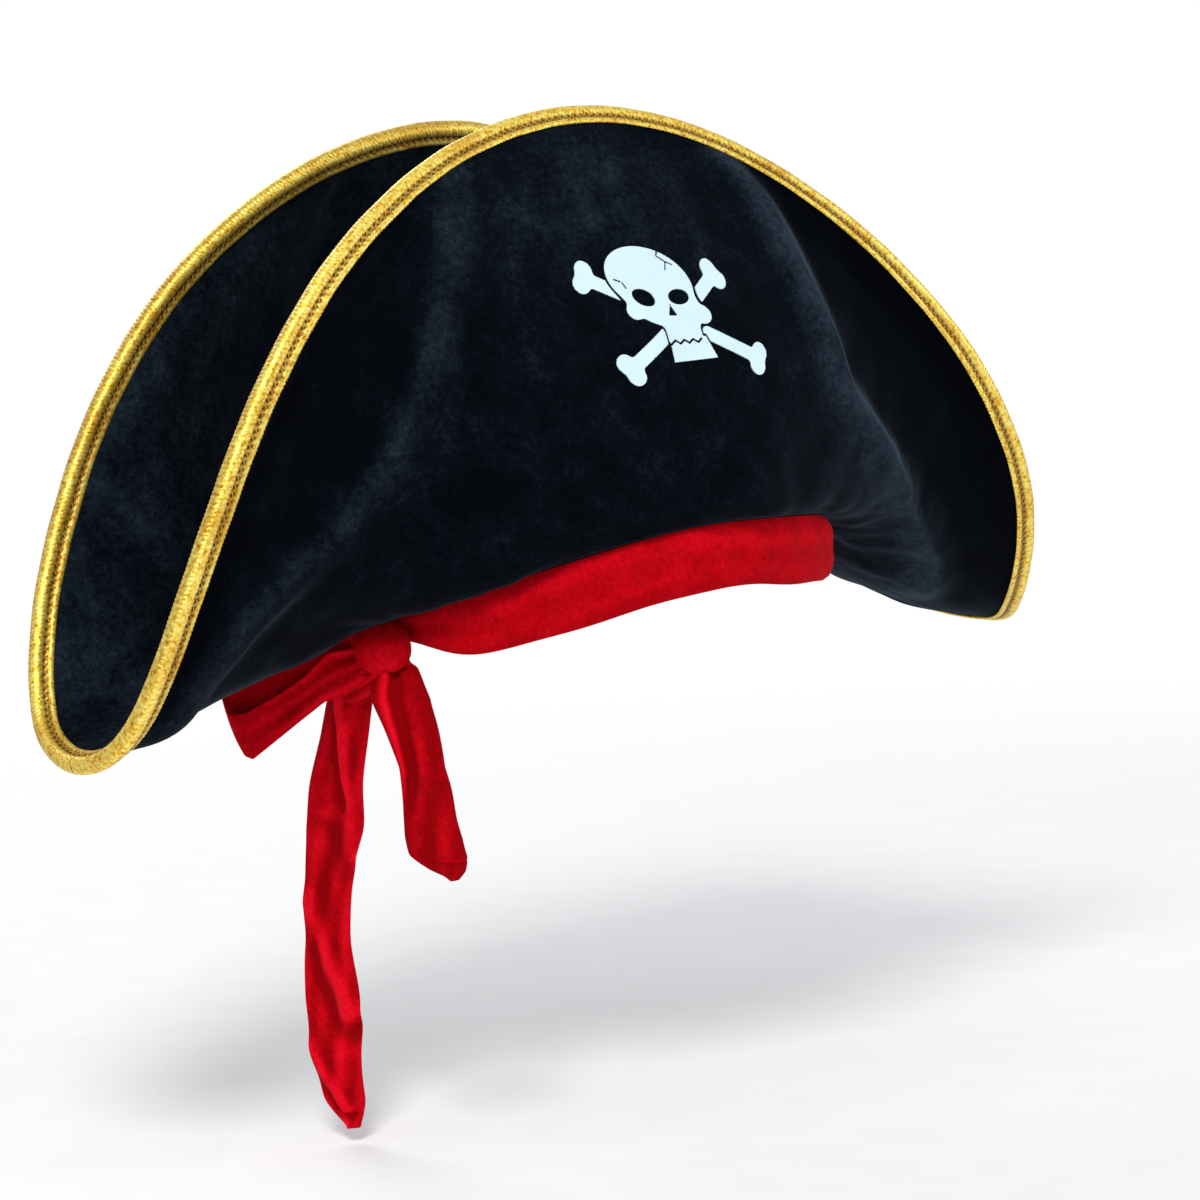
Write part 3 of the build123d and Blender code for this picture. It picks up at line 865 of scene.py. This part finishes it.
# Painted shade at each point of the section: most in the stitched groove, some at the hem and the
# rounded top.
BRAID_GROOVE_SHADE = [0.3, 0.0, 0.0, 0.05, 0.3, 0.9, 1.0, 1.0, 0.8, 0.2, 0.0, 0.0, 0.0, 0.0, 0.15, 0.4]
BRAID_MIDDLE = np.array([0.0, 0.5])
BRAID_INSIDE = [(2.02, -4.4), (2.02, 0.0), (2.0, 1.6), (1.3, 2.9), (0.0, 3.5)]
RIB = 1.7                    # distance from one rib of the braid to the next
RIB_HEIGHT = 0.11
STITCH_STEP = 3.1
STITCH_LENGTH = 1.9
STITCH_RADIUS = 0.24
STITCH_OUT = 2.55
STITCH_RISE = (-1.75, -0.75)
STITCH_PATH = [(0.0, -0.5), (0.12, 0.1), (0.3, 0.28), (0.7, 0.28), (0.88, 0.1), (1.0, -0.5)]


def rim_frame(u):
    return brim_frame(u, np.ones_like(u))


def make_binding(side):
    u = np.linspace(SIDE_SEAM / 2, 1 - SIDE_SEAM / 2, int(RIM_LENGTH / RIB) * 4)
    point, _, up, normal = rim_frame(u)
    half, inside = np.array(BRAID), np.array(BRAID_INSIDE)
    outer = np.vstack([half, (half * [-1, 1])[-2::-1]])
    inner = np.vstack([inside * [-1, 1], inside[-2::-1]])
    section = np.vstack([outer, inner])
    groove_shade = np.concatenate([BRAID_GROOVE_SHADE, BRAID_GROOVE_SHADE[-2::-1], np.zeros(len(inner))])
    ribbed = np.concatenate([np.ones(len(outer)), np.zeros(len(inner))])
    ribbed[[0, len(outer) - 1]] = 0
    along = (u * RIM_LENGTH)[:, None]
    wave = np.sin(2 * math.pi * (along + 0.5 * np.abs(section[:, 1])) / RIB)
    drift = 0.18 * np.sin(along / 11.0) + 0.12 * np.sin(along / 4.3 + 1.0)
    out = unit(section - BRAID_MIDDLE)
    across = section[:, 0] + out[:, 0] * ribbed * RIB_HEIGHT * wave
    rise = section[:, 1] + out[:, 1] * ribbed * RIB_HEIGHT * wave + drift * ribbed * 0.6
    rings = point[:, None] + normal[:, None] * across[..., None] + up[:, None] * rise[..., None]
    piece = loft(f"{side}_binding", rings * FACING[side], GOLD, angle=60.0)
    marks = 0.5 + 0.5 * np.sin(2 * math.pi * (along + 0.9 * section[:, 1]) / STITCH_STEP)
    # painted shade in the groove, in dashes across it, and in the hollows between the ribs
    painted = groove_shade * (0.45 + 0.55 * marks) + 0.12 * (wave < -0.2) * ribbed
    paint(piece, "groove_shade", np.concatenate([np.clip(painted, 0, 1).ravel(), [0, 0]]))
    swing(piece, side, "gold_braid", *rim_nodes(side, "binding"))


def make_wire(side):
    point, _, up, normal = rim_frame(np.linspace(SIDE_SEAM, 1 - SIDE_SEAM, 420))
    turn = round_turn(12)[None, :, None]
    circle = normal[:, None] * np.cos(turn) + up[:, None] * np.sin(turn)
    rings = (point + up * WIRE_HEIGHT)[:, None] + WIRE_RADIUS * circle
    piece = loft(f"{side}_wire", rings * FACING[side], WIRE)
    swing(piece, side, "edge_wire", *rim_nodes(side, "wire"))


def stitch(start, end, lift):
    """One stitch: a thread that rises from the cloth, runs over it and goes down again."""
    steps, rise = np.array(STITCH_PATH).T
    centre = start + (end - start) * steps[:, None] + lift * rise[:, None]
    side = np.cross(unit(end - start), lift)
    turn = round_turn(6)[:, None]
    circle = side * np.cos(turn) + lift * np.sin(turn)
    return loft_parts(centre[:, None] + STITCH_RADIUS * circle[None])


def make_stitching(side):
    count = int(RIM_LENGTH / STITCH_STEP)
    u = (np.arange(count) + 0.5) / count
    reach = STITCH_LENGTH / RIM_LENGTH / 2
    frames = [rim_frame(u - reach), rim_frame(u + reach)]
    tubes = []
    for face in (-1, 1):
        lift = frames[0][3] * face
        ends = [f[0] + lift * STITCH_OUT + f[2] * rise for f, rise in zip(frames, STITCH_RISE)]
        tubes += [stitch(*three) for three in zip(*(row * FACING[side] for row in (*ends, lift)))]
    swing(several(f"{side}_binding_stitches", tubes, THREAD), side, "gold_braid")


# ---- crown: wall, tip, lining, sweatband and label

def wall_radius(angle, lift, inset):
    base = 1 / np.hypot(np.cos(angle) / (OPENING_X - inset), np.sin(angle) / (OPENING_Y - inset))
    top = WALL_TOP_RADIUS - inset + BAND_THICK
    return base + (top - base) * lift**WALL_SHAPE + WALL_SWELL * np.sin(math.pi * lift)


def crown_crumple(angle, z):
    """The soft crown's wrinkles: inward only, and none where the brim and the band hold it."""
    hold = smooth((z - 18.0) / 26.0)
    soft = 1.5 + 1.0 * np.sin(5 * angle + 0.05 * z) + 0.9 * np.sin(9 * angle - 0.03 * z + 1.3)
    soft = soft + 0.5 * np.sin(17 * angle + 0.12 * z + 0.4)
    return -hold * np.clip(soft, 0, 4)


def ring_wall(name, inset, thick, high, follow, material, rows):
    """A strip round the head. With follow 1 its top sags with the opening, without wrinkles."""
    angle, part = np.meshgrid(round_turn(360), np.linspace(0, 1, rows), indexing="ij")
    bottom = BAND_BOTTOM + 1.0 - sag(angle) + gather(angle)
    z = bottom + (high - follow * sag(angle) - bottom) * part
    level = BRIM_ROOT + 2.0 - sag(angle)
    lift = np.clip((z - level) / (WALL_TOP - level), 0, 1) * (1 - follow)
    wrinkle = 0.0 if follow else crown_crumple(angle, z)
    depths = (inset, inset + thick)
    outer, inner = (around_head(angle, wall_radius(angle, lift, d) + wrinkle, z) for d in depths)
    return head_strip(name, outer, inner, material)


BAND_DROP = 2.2
BAND_SWELL = 1.5
BAND_BULGE = 3.6             # extra swell where the band's cloth is turned over, at this angle
BAND_BULGE_ANGLE = math.radians(-36)
SEAM_RADIUS = 1.25
SEAM_TWIST = 0.12


def make_band():
    angle, part = np.meshgrid(round_turn(420), np.linspace(0, 1, 18), indexing="ij")
    arch = np.sin(math.pi * part)
    wave = 0.9 * np.sin(3 * angle + 0.8) + 0.6 * np.sin(7 * angle) + 0.35 * np.sin(13 * angle + 2.0)
    bottom = BAND_BOTTOM - sag(angle) + gather(angle) + wave * 0.8
    z = bottom + (BRIM_ROOT - BAND_DROP - sag(angle) - bottom) * part
    folds = 0.55 * np.sin(2 * math.pi * (part * 1.6 + 0.12 * np.sin(4 * angle))) * arch
    folds = folds + 0.25 * np.sin(31 * angle + 5 * part) * arch
    away = (angle - BAND_BULGE_ANGLE + math.pi) % (2 * math.pi) - math.pi
    bulge = BAND_BULGE * bell(away / 0.4)
    swell = (BAND_SWELL + bulge) * np.clip(arch, 0, 1) ** 0.45 + folds
    radius = wall_radius(angle, 0 * angle, 0.0)
    outer = around_head(angle, radius + swell - 0.2, z)
    inner = around_head(angle, radius - BAND_THICK, z)
    piece = head_strip("sash_band_cloth", outer, inner, RED_VELVET)
    # painted highlight on the band's fold crests and painted shade in their hollows; lighter towards the
    # top
    painted_light_and_tone = fold_highlight_and_shade(folds, 6, 0.6, False) + 0.35 * (part - 0.5)
    paint(piece, "painted_light_and_tone", np.concatenate([painted_light_and_tone, painted_light_and_tone[:, ::-1]], 1).ravel())
    settle(piece, "hat", "red_velvet", "sash_band")


def make_crown():
    wall = BAND_THICK + LAYER_GAP
    lining = wall + WALL_THICK + LAYER_GAP
    sweat = lining + LINING_THICK + LAYER_GAP
    black = (BLACK_VELVET, "black_velvet")
    satin = (SATIN, "lining_satin")
    cotton = (TWILL, "sweatband_cotton")
    rows = [
        ("crown_wall", "cloth", wall, WALL_THICK, WALL_TOP, 0, black, 70, 0.100),
        ("crown_lining_wall", "cloth", lining, LINING_THICK, WALL_TOP - 2.5, 0, satin, 50, 0.098),
        ("sweatband", "tape", sweat, SWEATBAND_THICK, 6.0, 1, cotton, 14, 0.029),
    ]
    for node, kind, inset, thick, high, follow, (material, slot), count, height in rows:
        piece = ring_wall(f"{node}_{kind}", inset, thick, high, follow, material, count)
        settle(piece, "hat", slot, node)
    make_tip("crown_tip", 0.0, WALL_THICK, *black)
    make_tip("crown_lining_tip", WALL_THICK + LAYER_GAP, LINING_THICK, *satin)


def tip_height(radius, angle):
    """The crown's soft top: a dome that has slumped a little between its gathers."""
    rise = CROWN_TOP - WALL_TOP
    ball = (WALL_TOP_RADIUS**2 + rise**2) / (2 * rise)
    share = radius / WALL_TOP_RADIUS
    dome = CROWN_TOP - ball + np.sqrt(ball**2 - radius**2)
    slump = 2.0 * (1 - share**2) * (1 + 0.6 * np.sin(2 * angle + 0.7))
    folds = 1.6 * np.sin(5 * angle + 1.0) * share**1.5 * (1 - share) * 2
    folds = folds + 0.9 * np.sin(19 * angle + 0.3) * share**6 * smooth((1 - share) / 0.1)
    return dome - slump + folds


def make_tip(node, drop, thick, material, slot):
    angles = round_turn(300)
    lowest = WALL_TOP + LAYER_GAP - drop * 0.4
    skins = []
    for depth, share in ((drop, 1.0), (drop + thick, 0.992)):
        rings = []
        for radius in (WALL_TOP_RADIUS - drop * 0.6) * np.sin(np.linspace(0.01, math.pi / 2, 46)):
            z = np.maximum(tip_height(radius, angles) - depth + LAYER_GAP, lowest)
            rings.append(around_head(angles, radius * share, z))
        skins.append(rings)
    piece = loft(f"{node}_cloth", np.array(skins[0] + skins[1][::-1]), material)
    settle(piece, "hat", slot, node)


def make_crown_seam():
    """A corded seam between the crown's wall and its tip."""
    angle = round_turn(420)[:, None]
    radius = wall_radius(angle, 1.0, BAND_THICK + LAYER_GAP) + crown_crumple(angle, WALL_TOP)
    turn = round_turn(12)
    thick = SEAM_RADIUS + SEAM_TWIST * np.sin(60 * angle)
    z = WALL_TOP + 0.2 + thick * np.sin(turn)
    rings = around_head(angle, radius - 0.9 + thick * np.cos(turn), z)
    settle(loft("crown_seam_cord", rings, BLACK_VELVET, closed=True), "hat", "black_velvet")


def make_label():
    low, high = (np.array(corner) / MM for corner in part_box("care_label"))
    inset = BAND_THICK + WALL_THICK + LINING_THICK + SWEATBAND_THICK + 4 * LAYER_GAP
    across, up = np.linspace(low[0], high[0], 40), np.linspace(low[2], high[2], 18)
    x, z = np.meshgrid(across, up, indexing="ij")
    curl = 0.5 * smooth((low[2] + 4.0 - z) / 4.0)
    y = (OPENING_Y - inset) * np.sqrt(1 - (x / (OPENING_X - inset)) ** 2) - 0.15 - curl
    front, back = (np.stack([x, y - thick, z], -1) for thick in (0.3, 0.0))
    piece = shell("care_label_tape", front, back, TAPE)
    settle(piece, "hat", "label_tape", "care_label")


# ---- sash: knot, bow loop and two tails

SASH_LEAN = math.radians(25)
SASH_O = np.array([-111.0, -12.0, -43.5])
SASH_W = np.array([math.sin(SASH_LEAN), -math.cos(SASH_LEAN), 0.0])
SASH_N = np.array([-math.cos(SASH_LEAN), -math.sin(SASH_LEAN), 0.0])
SASH_Z = np.array([0.0, 0.0, 1.0])
KNOT_POWER = 0.78

LONG_LINE = [(-110.0, -7.5, -42.5), (-111.0, -1.5, -50.5), (-111.0, 4.6, -60.0),
             (-111.0, 9.5, -76.0), (-111.0, 15.2, -94.0), (-111.0, 18.6, -112.0), (-111.0, 24.0, -132.0),
             (-111.0, 27.6, -157.0), (-111.0, 27.2, -181.0), (-111.0, 27.6, -205.0),
             (-111.0, 24.0, -221.5), (-111.0, 19.5, -232.0)]
LONG_WIDTHS = [5.0, 8.5, 11.0, 11.8, 12.8, 12.9, 10.8, 10.4, 12.6, 11.2, 9.2, 2.6]
SHORT_LINE = [(-107.0, -19.0, -40.0), (-109.0, -22.0, -48.0), (-111.0, -26.4, -58.0),
              (-111.0, -33.4, -71.0), (-111.0, -39.0, -84.0), (-111.0, -42.4, -98.0),
              (-111.0, -44.8, -110.0), (-111.0, -47.5, -117.0), (-111.0, -52.5, -122.0),
              (-111.0, -56.5, -125.5)]
SHORT_WIDTHS = [5.5, 9.4, 12.0, 10.4, 8.8, 10.8, 12.4, 12.6, 8.0, 1.6]
TAIL_THICK = 3.0
TAIL_ROWS = 230
TAIL_SCALE = np.array([12.0, 178.0])


def sash_point(w, z, n):
    w, z, n = np.broadcast_arrays(w, z, n)
    return SASH_O + w[..., None] * SASH_W + z[..., None] * SASH_Z + n[..., None] * SASH_N


def fold_step(s, fall, line, height, soft):
    """A leaf of cloth lying over another: the part right of the line stands higher."""
    line_s, line_fall = np.array(line).T
    place_s = np.interp(fall, line_fall, line_s)
    inside = smooth((fall - line_fall[0]) / 0.04) * smooth((line_fall[-1] + 0.06 - fall) / 0.12)
    over = smooth((s - place_s) / soft + 0.5)
    return height * inside * (over + 0.55 * bell((s - place_s - soft * 0.6) / (soft * 1.1)))


def fold_ridge(s, fall, start, end, height, width):
    """A soft ridge across the strip from one place to another, with a hollow below it."""
    a, b = np.array(start) * TAIL_SCALE, np.array(end) * TAIL_SCALE
    points = np.stack([s, fall], -1) * TAIL_SCALE
    step = b - a
    f = np.clip(((points - a) @ step) / (step @ step), 0, 1)
    offset = points - a - f[..., None] * step
    gap = np.linalg.norm(offset, axis=-1)
    hollow = bell((gap - width * 1.6) / width) * smooth(offset[..., 1] / 4.0)
    return height * (bell(gap / width) - 0.6 * hollow)


def tail_rings(line, widths, folds):
    middle = through(line, TAIL_ROWS)
    fall = np.linspace(0, 1, TAIL_ROWS)
    half = blur(np.interp(fall, np.linspace(0, 1, len(widths)), widths)[:, None], 8)
    turn = round_turn(88)
    s, fall = np.meshgrid(np.cos(turn), fall)
    depth = folds(s, fall)
    body = TAIL_THICK * (0.55 + 0.45 * smooth(fall * 8))
    across = half * s
    out = body * bent(np.sin(turn), 0.55) * 0.5 + depth
    rings = middle[:, None] + across[..., None] * SASH_W + out[..., None] * SASH_N
    # painted highlight on the fold crests and painted shade in the hollows beside them
    return rings, fold_highlight_and_shade(depth, 30, 1.4)


def long_folds(s, fall):
    leaf = [(-0.95, 0.04), (-0.62, 0.12), (-0.1, 0.25), (0.38, 0.40)]
    height = fold_step(s, fall, leaf, 3.4, 0.20)
    height = height + fold_ridge(s, fall, (-0.75, 0.58), (0.65, 0.74), 2.2, 4.0)
    height = height + fold_ridge(s, fall, (-0.95, 0.80), (0.20, 0.93), 2.0, 3.2)
    height = height + fold_ridge(s, fall, (0.15, 0.42), (0.95, 0.50), 1.1, 4.0)
    height = height + 0.8 * np.sin(3.1 * s + 9 * fall) * smooth(fall * 5)
    return height - 1.6 * s**2 * np.cos(5 * fall) + 0.35 * np.sin(7.0 * s + 23 * fall)


def short_folds(s, fall):
    leaf = [(-0.05, 0.06), (-0.25, 0.2), (-0.55, 0.38), (-0.9, 0.55)]
    height = fold_step(s, fall, leaf, -3.0, 0.25)
    height = height + fold_ridge(s, fall, (0.2, 0.35), (0.5, 0.8), 0.8, 4.5)
    height = height + 0.7 * np.sin(2.6 * s + 6 * fall + 1.0) * smooth(fall * 5) - 1.2 * s**2
    return height + 0.3 * np.sin(6.0 * s + 17 * fall)


def make_tails():
    # the last column moves each tail's painted light and tone; the short tail is painted darker
    rows = [
        ("sash_tail_long", LONG_LINE, LONG_WIDTHS, long_folds, 0.1),
        ("sash_tail_short", SHORT_LINE, SHORT_WIDTHS, short_folds, -0.55),
    ]
    for node, line, widths, folds, tone in rows:
        rings, painted_light_and_tone = tail_rings(line, widths, folds)
        piece = loft(f"{node}_cloth", rings, RED_VELVET)
        paint(piece, "painted_light_and_tone", np.concatenate([np.clip(painted_light_and_tone + tone, -1, 1).ravel(), [tone, tone]]))
        settle(piece, node, "red_velvet", node)


LOOP_O = np.array([-121.5, -5.0, -51.5])
LOOP_A = unit(np.array([-0.75, 0.62, -0.32]))
LOOP_S = unit(np.array([-0.62, -0.75, 0.0]))
LOOP_T = np.cross(LOOP_A, LOOP_S)
LOOP_LENGTH = 45.0
LOOP_THICK = 1.5

# Lower and upper edge of the near strip, then of the far one, against the distance from the knot
LOOP_EDGES = [
    [(-9, -3.0), (0, -5.4), (8, -4.5), (20, -8.2), (42, -15.3), (45, -13.0)],
    [(-9, 11.0), (0, 13.0), (12, 7.5), (22, 5.0), (38, 2.5), (45, 4.0)],
    [(-9, 2.0), (0, 0.0), (20, -3.0), (42, -6.0), (45, -7.0)],
    [(-9, 15.0), (0, 21.0), (20, 22.0), (40, 19.5), (45, 12.0)],
]


def make_loop():
    """One strip that runs out from the knot, folds over at the end and runs back behind."""
    run = np.linspace(0, 2, 150)
    out = 1 - np.abs(1 - run)
    near = run <= 1
    reach = -9.0 + (LOOP_LENGTH + 9.0) * np.sin(out * math.pi / 2) ** 0.9
    puff = np.where(near, 5.2, -3.4) * np.sin(np.clip(out * 1.02, 0, 1) * math.pi) ** 0.6
    puff = puff + np.where(near, 1.2, -1.2) * (1 - out)
    low_near, high_near, low_far, high_far = (np.interp(reach, *zip(*edge)) for edge in LOOP_EDGES)
    end = smooth((out - 0.9) / 0.1)
    low = np.where(near, low_near, low_far) * (1 - end) + end * -9.0
    high = np.where(near, high_near, high_far) * (1 - end) + end * 11.0
    turn = round_turn(56)
    q = (0.5 - 0.5 * np.cos(turn))[None, :]
    ahead, aside = np.gradient(reach), np.gradient(puff)
    size = np.hypot(ahead, aside) + 1e-9
    crease = 0.5 * np.sin(q * 8 + run[:, None] * 2.0) + 0.5 * np.sin(q * 15 - run[:, None] * 3)
    crease = crease * bell(out[:, None] / 0.5) + 0.25 * np.sin(q * 5 + out[:, None] * 6)
    depth = LOOP_THICK / 2 * bent(np.sin(turn), 0.5) + crease
    a = reach[:, None] - (aside / size)[:, None] * depth
    s = puff[:, None] + (ahead / size)[:, None] * depth
    t = low[:, None] + (high - low)[:, None] * q
    rings = LOOP_O + a[..., None] * LOOP_A + s[..., None] * LOOP_S + t[..., None] * LOOP_T
    piece = loft("sash_loop_cloth", rings, RED_VELVET)
    # painted shade on the far strip, plus a painted highlight on the creases' crests and painted shade
    # in their hollows
    tone = np.where(near, 0.05, -0.1)[:, None] + fold_highlight_and_shade(depth, 12, 1.3)
    paint(piece, "painted_light_and_tone", np.concatenate([np.clip(tone, -1, 1).ravel(), [0, 0]]))
    settle(piece, "sash_loop", "red_velvet", "sash_loop")


def lump(name, centre, sizes, creases, tone, lean):
    """A rounded bundle of cloth about a centre (w, z, n), with creases worked into it."""
    v = np.linspace(-math.pi / 2 + 0.03, math.pi / 2 - 0.03, 72)[:, None]
    h = round_turn(110)[None, :]
    w = bent(np.cos(v), KNOT_POWER) * bent(np.cos(h), KNOT_POWER)
    n = bent(np.cos(v), KNOT_POWER) * bent(np.sin(h), KNOT_POWER)
    z = bent(np.sin(v), KNOT_POWER) + 0 * n
    ww, zz, nn = (value * size * (1 + creases(w, z, n)) for value, size in zip((w, z, n), sizes))
    turned_w = ww * math.cos(lean) - zz * math.sin(lean)
    turned_z = ww * math.sin(lean) + zz * math.cos(lean)
    rings = sash_point(centre[0] + turned_w, centre[1] + turned_z, centre[2] + nn)
    piece = loft(name, rings, RED_VELVET)
    # painted light and shade from the given tone function
    paint(piece, "painted_light_and_tone", np.concatenate([tone(w, z, n).ravel(), [0, 0]]))
    return piece


def make_knot():
    def wrap(w, z, n):
        lines = 0.045 * np.sin(9 * w + 1.6 * z) + 0.03 * np.sin(15 * w - 2.0 * z + 1.0)
        return lines * np.clip(n + 0.4, 0, 1) - 0.06 * bell((w + 0.62 + 0.1 * z) / 0.1)

    # painted shadow over the top, under the brim, and painted shade down the right side
    def wrap_light_and_shadow(w, z, n):
        return 0.35 - 1.4 * smooth((z + 0.15) / 0.8) - 0.6 * smooth((w - 0.3) / 0.6)

    def pinch(w, z, n):
        return 0.10 * np.sin(13 * np.hypot(w * 0.8, z - 1.1)) * np.clip(n + 0.5, 0, 1)

    # painted highlight on the pinched creases' crests and painted shade between them, all a little
    # darker
    def pinch_highlight_and_shade(w, z, n):
        return 4.0 * pinch(w, z, n) - 0.15

    first = ((5.6, 5.4, 2.2), (12.3, 10.6, 5.4), wrap, wrap_light_and_shadow, math.radians(12))
    second = ((-6.2, -6.0, -0.2), (13.0, 8.4, 5.2), pinch, pinch_highlight_and_shade, math.radians(22))
    settle(lump("sash_knot_wrap", *first), "hat", "red_velvet", "sash_knot")
    settle(lump("sash_knot_gather", *second), "hat", "red_velvet")


# ---- skull patch: a plain skull over crossed bones, cut from thin white film

def disc(x, y, cx, cy, rx, ry, turn=0.0):
    c, s = math.cos(turn), math.sin(turn)
    a = ((x - cx) * c + (y - cy) * s) / rx
    b = (-(x - cx) * s + (y - cy) * c) / ry
    return (np.hypot(a, b) - 1) * min(rx, ry)


def bar(x, y, ax, ay, bx, by, radius):
    dx, dy = bx - ax, by - ay
    f = np.clip(((x - ax) * dx + (y - ay) * dy) / (dx * dx + dy * dy), 0, 1)
    return np.hypot(x - ax - f * dx, y - ay - f * dy) - radius


def union(first, second, soft):
    h = np.clip(0.5 + 0.5 * (second - first) / soft, 0, 1)
    return second * (1 - h) + first * h - soft * h * (1 - h)


def hull(x, y, corners):
    """Signed distance, about, to a convex shape given by its corners in clockwise order."""
    far = np.full_like(x, -1e3)
    for (ax, ay), (bx, by) in zip(corners, corners[1:] + corners[:1]):
        size = math.hypot(bx - ax, by - ay)
        far = np.maximum(far, ((x - ax) * (ay - by) + (y - ay) * (bx - ax)) / size)
    return far


EMBLEM_X = -17.0
EMBLEM_Z = 80.5
PATCH_CELL = 0.36
PATCH_GAP = 0.12
PATCH_THICK = 0.4
BONES = [((-33.4, 18.5), (35.5, -16.2)), ((-24.2, -17.4), (26.0, 17.3))]
BONE_RADIUS = 2.7
BONE_GAP = 0.9
SKULL_LEAN = math.radians(-17)
CHEEKS = [(-6.0, 2.0), (10.5, 2.0), (10.8, -7.0), (-5.6, -7.6)]
JAW = [(-5.2, -7.0), (12.2, -6.2), (15.4, -14.8), (-5.4, -15.6)]
EYES = [(-11.0, 9.6, 4.6, 3.2, math.radians(-24)), (4.9, 9.2, 5.1, 3.0, math.radians(4))]
NOSE = [(-0.6, 6.6), (1.6, 2.0), (-2.6, 2.3)]
CRACKS = [
    (3.0, 28.5, 1.2, 25.2, 0.34), (1.2, 25.2, 4.4, 22.8, 0.34), (4.4, 22.8, 3.0, 19.8, 0.30),
    (4.4, 22.8, 7.0, 21.6, 0.28), (-20.5, 17.0, -17.8, 16.0, 0.32),
    (-17.8, 16.0, -16.6, 13.4, 0.30),
]


def skull_shape(x, y):
    """Signed distance, about, to a simple leaning skull over two crossed bones."""
    head = disc(x, y, -5.0, 16.0, 18.6, 12.8, SKULL_LEAN)
    head = union(head, disc(x, y, -1.0, 5.0, 16.0, 7.5, SKULL_LEAN / 2), 3.0)
    head = union(head, disc(x, y, 14.2, 1.8, 3.6, 3.4), 1.5)
    head = union(head, disc(x, y, -16.2, 4.6, 3.2, 3.2), 1.5)
    head = union(head, hull(x, y, CHEEKS), 2.0)
    head = union(head, hull(x, y, JAW) + 0.1, 0.8)
    bones = np.full_like(x, 1e3)
    for (ax, ay), (bx, by) in BONES:
        length = math.hypot(bx - ax, by - ay)
        c, s = (bx - ax) / length, (by - ay) / length
        bone = bar(x, y, ax, ay, bx, by, BONE_RADIUS)
        for ex, ey in ((ax, ay), (bx, by)):
            for knob in (-3.0, 3.0):
                bone = union(bone, disc(x, y, ex - knob * s, ey + knob * c, 3.6, 3.6), 1.6)
        bones = np.minimum(bones, bone)
    shape = np.minimum(head, np.maximum(bones, BONE_GAP - head))
    teeth = [(-5.0 + k * 2.15, -8.2 + (0.9 if k % 2 else -0.5) + 0.04 * k) for k in range(8)]
    lines = CRACKS + [(*first, *second, 0.42) for first, second in zip(teeth, teeth[1:])]
    lines += [(*teeth[k], teeth[k][0], teeth[k][1] + 2.2, 0.26) for k in (1, 3, 5)]
    cuts = [disc(x, y, *eye) for eye in EYES] + [bar(x, y, *line) for line in lines]
    for cut in [hull(x, y, NOSE), *cuts]:
        shape = np.maximum(shape, -cut)
    return shape


def on_brim(x, z, depth):
    """Places (u, t) of the front brim whose skin has this x and z."""
    u = np.clip(0.48 + (x - EMBLEM_X) / 430.0, 0.3, 0.7)
    t = np.clip(0.60 + (z - EMBLEM_Z) / 170.0, 0.3, 0.9)
    d = 2e-3
    for _ in range(7):
        here = brim_skin(u, t, depth)
        du = (brim_skin(u + d, t, depth) - here) / d
        dt = (brim_skin(u, t + d, depth) - here) / d
        miss_x, miss_z = x - here[..., 0], z - here[..., 2]
        area = du[..., 0] * dt[..., 2] - du[..., 2] * dt[..., 0]
        u = u + (miss_x * dt[..., 2] - miss_z * dt[..., 0]) / area
        t = t + (miss_z * du[..., 0] - miss_x * du[..., 2]) / area
    return u, t


def make_emblem():
    across, up = np.arange(-42, 42, PATCH_CELL), np.arange(-36, 36, PATCH_CELL)
    x, y = np.meshgrid(across, up, indexing="ij")
    e = 0.05
    for _ in range(2):
        d = skull_shape(x, y)
        gx = (skull_shape(x + e, y) - skull_shape(x - e, y)) / (2 * e)
        gy = (skull_shape(x, y + e) - skull_shape(x, y - e)) / (2 * e)
        size = gx**2 + gy**2 + 1e-6
        near = np.abs(d) < PATCH_CELL * 0.55
        x = np.where(near, x - d * gx / size, x)
        y = np.where(near, y - d * gy / size, y)
    inside = skull_shape(x, y) < 0.06
    full = inside[:-1, :-1] & inside[1:, :-1] & inside[1:, 1:] & inside[:-1, 1:]
    index = np.arange(x.size).reshape(x.shape)
    quads = np.stack([index[:-1, :-1], index[1:, :-1], index[1:, 1:], index[:-1, 1:]], -1)[full]
    used, quads = np.unique(quads, return_inverse=True)
    quads = quads.reshape(-1, 4)
    low = STIFFENER_THICK / 2 + LAYER_GAP + CLOTH_THICK + PATCH_GAP
    u, t = on_brim(EMBLEM_X + x.ravel()[used], EMBLEM_Z + y.ravel()[used], low)
    points = np.concatenate([brim_skin(u, t, low + PATCH_THICK), brim_skin(u, t, low)])
    count = len(used)
    edges = np.concatenate([quads[:, [i, (i + 1) % 4]] for i in range(4)])
    border = edges[~np.isin(edges[:, 0] * count + edges[:, 1], edges[:, 1] * count + edges[:, 0])]
    sides = np.stack([border[:, 1], border[:, 0], border[:, 0] + count, border[:, 1] + count], -1)
    faces = np.concatenate([quads, quads[:, ::-1] + count, sides])
    piece = finish_mesh("skull_patch", points, faces, NO_TRIANGLES, PRINT)
    settle(piece, "front_flap", "white_print", "skull_emblem")


make_camera()
make_world()
for lamp in LAMPS:
    soft_light(*lamp)
make_floor()
make_brim()
for edge in FACING:
    make_binding(edge)
    make_wire(edge)
    make_stitching(edge)
make_crown()
make_crown_seam()
make_band()
make_label()
make_knot()
make_loop()
make_tails()
make_emblem()
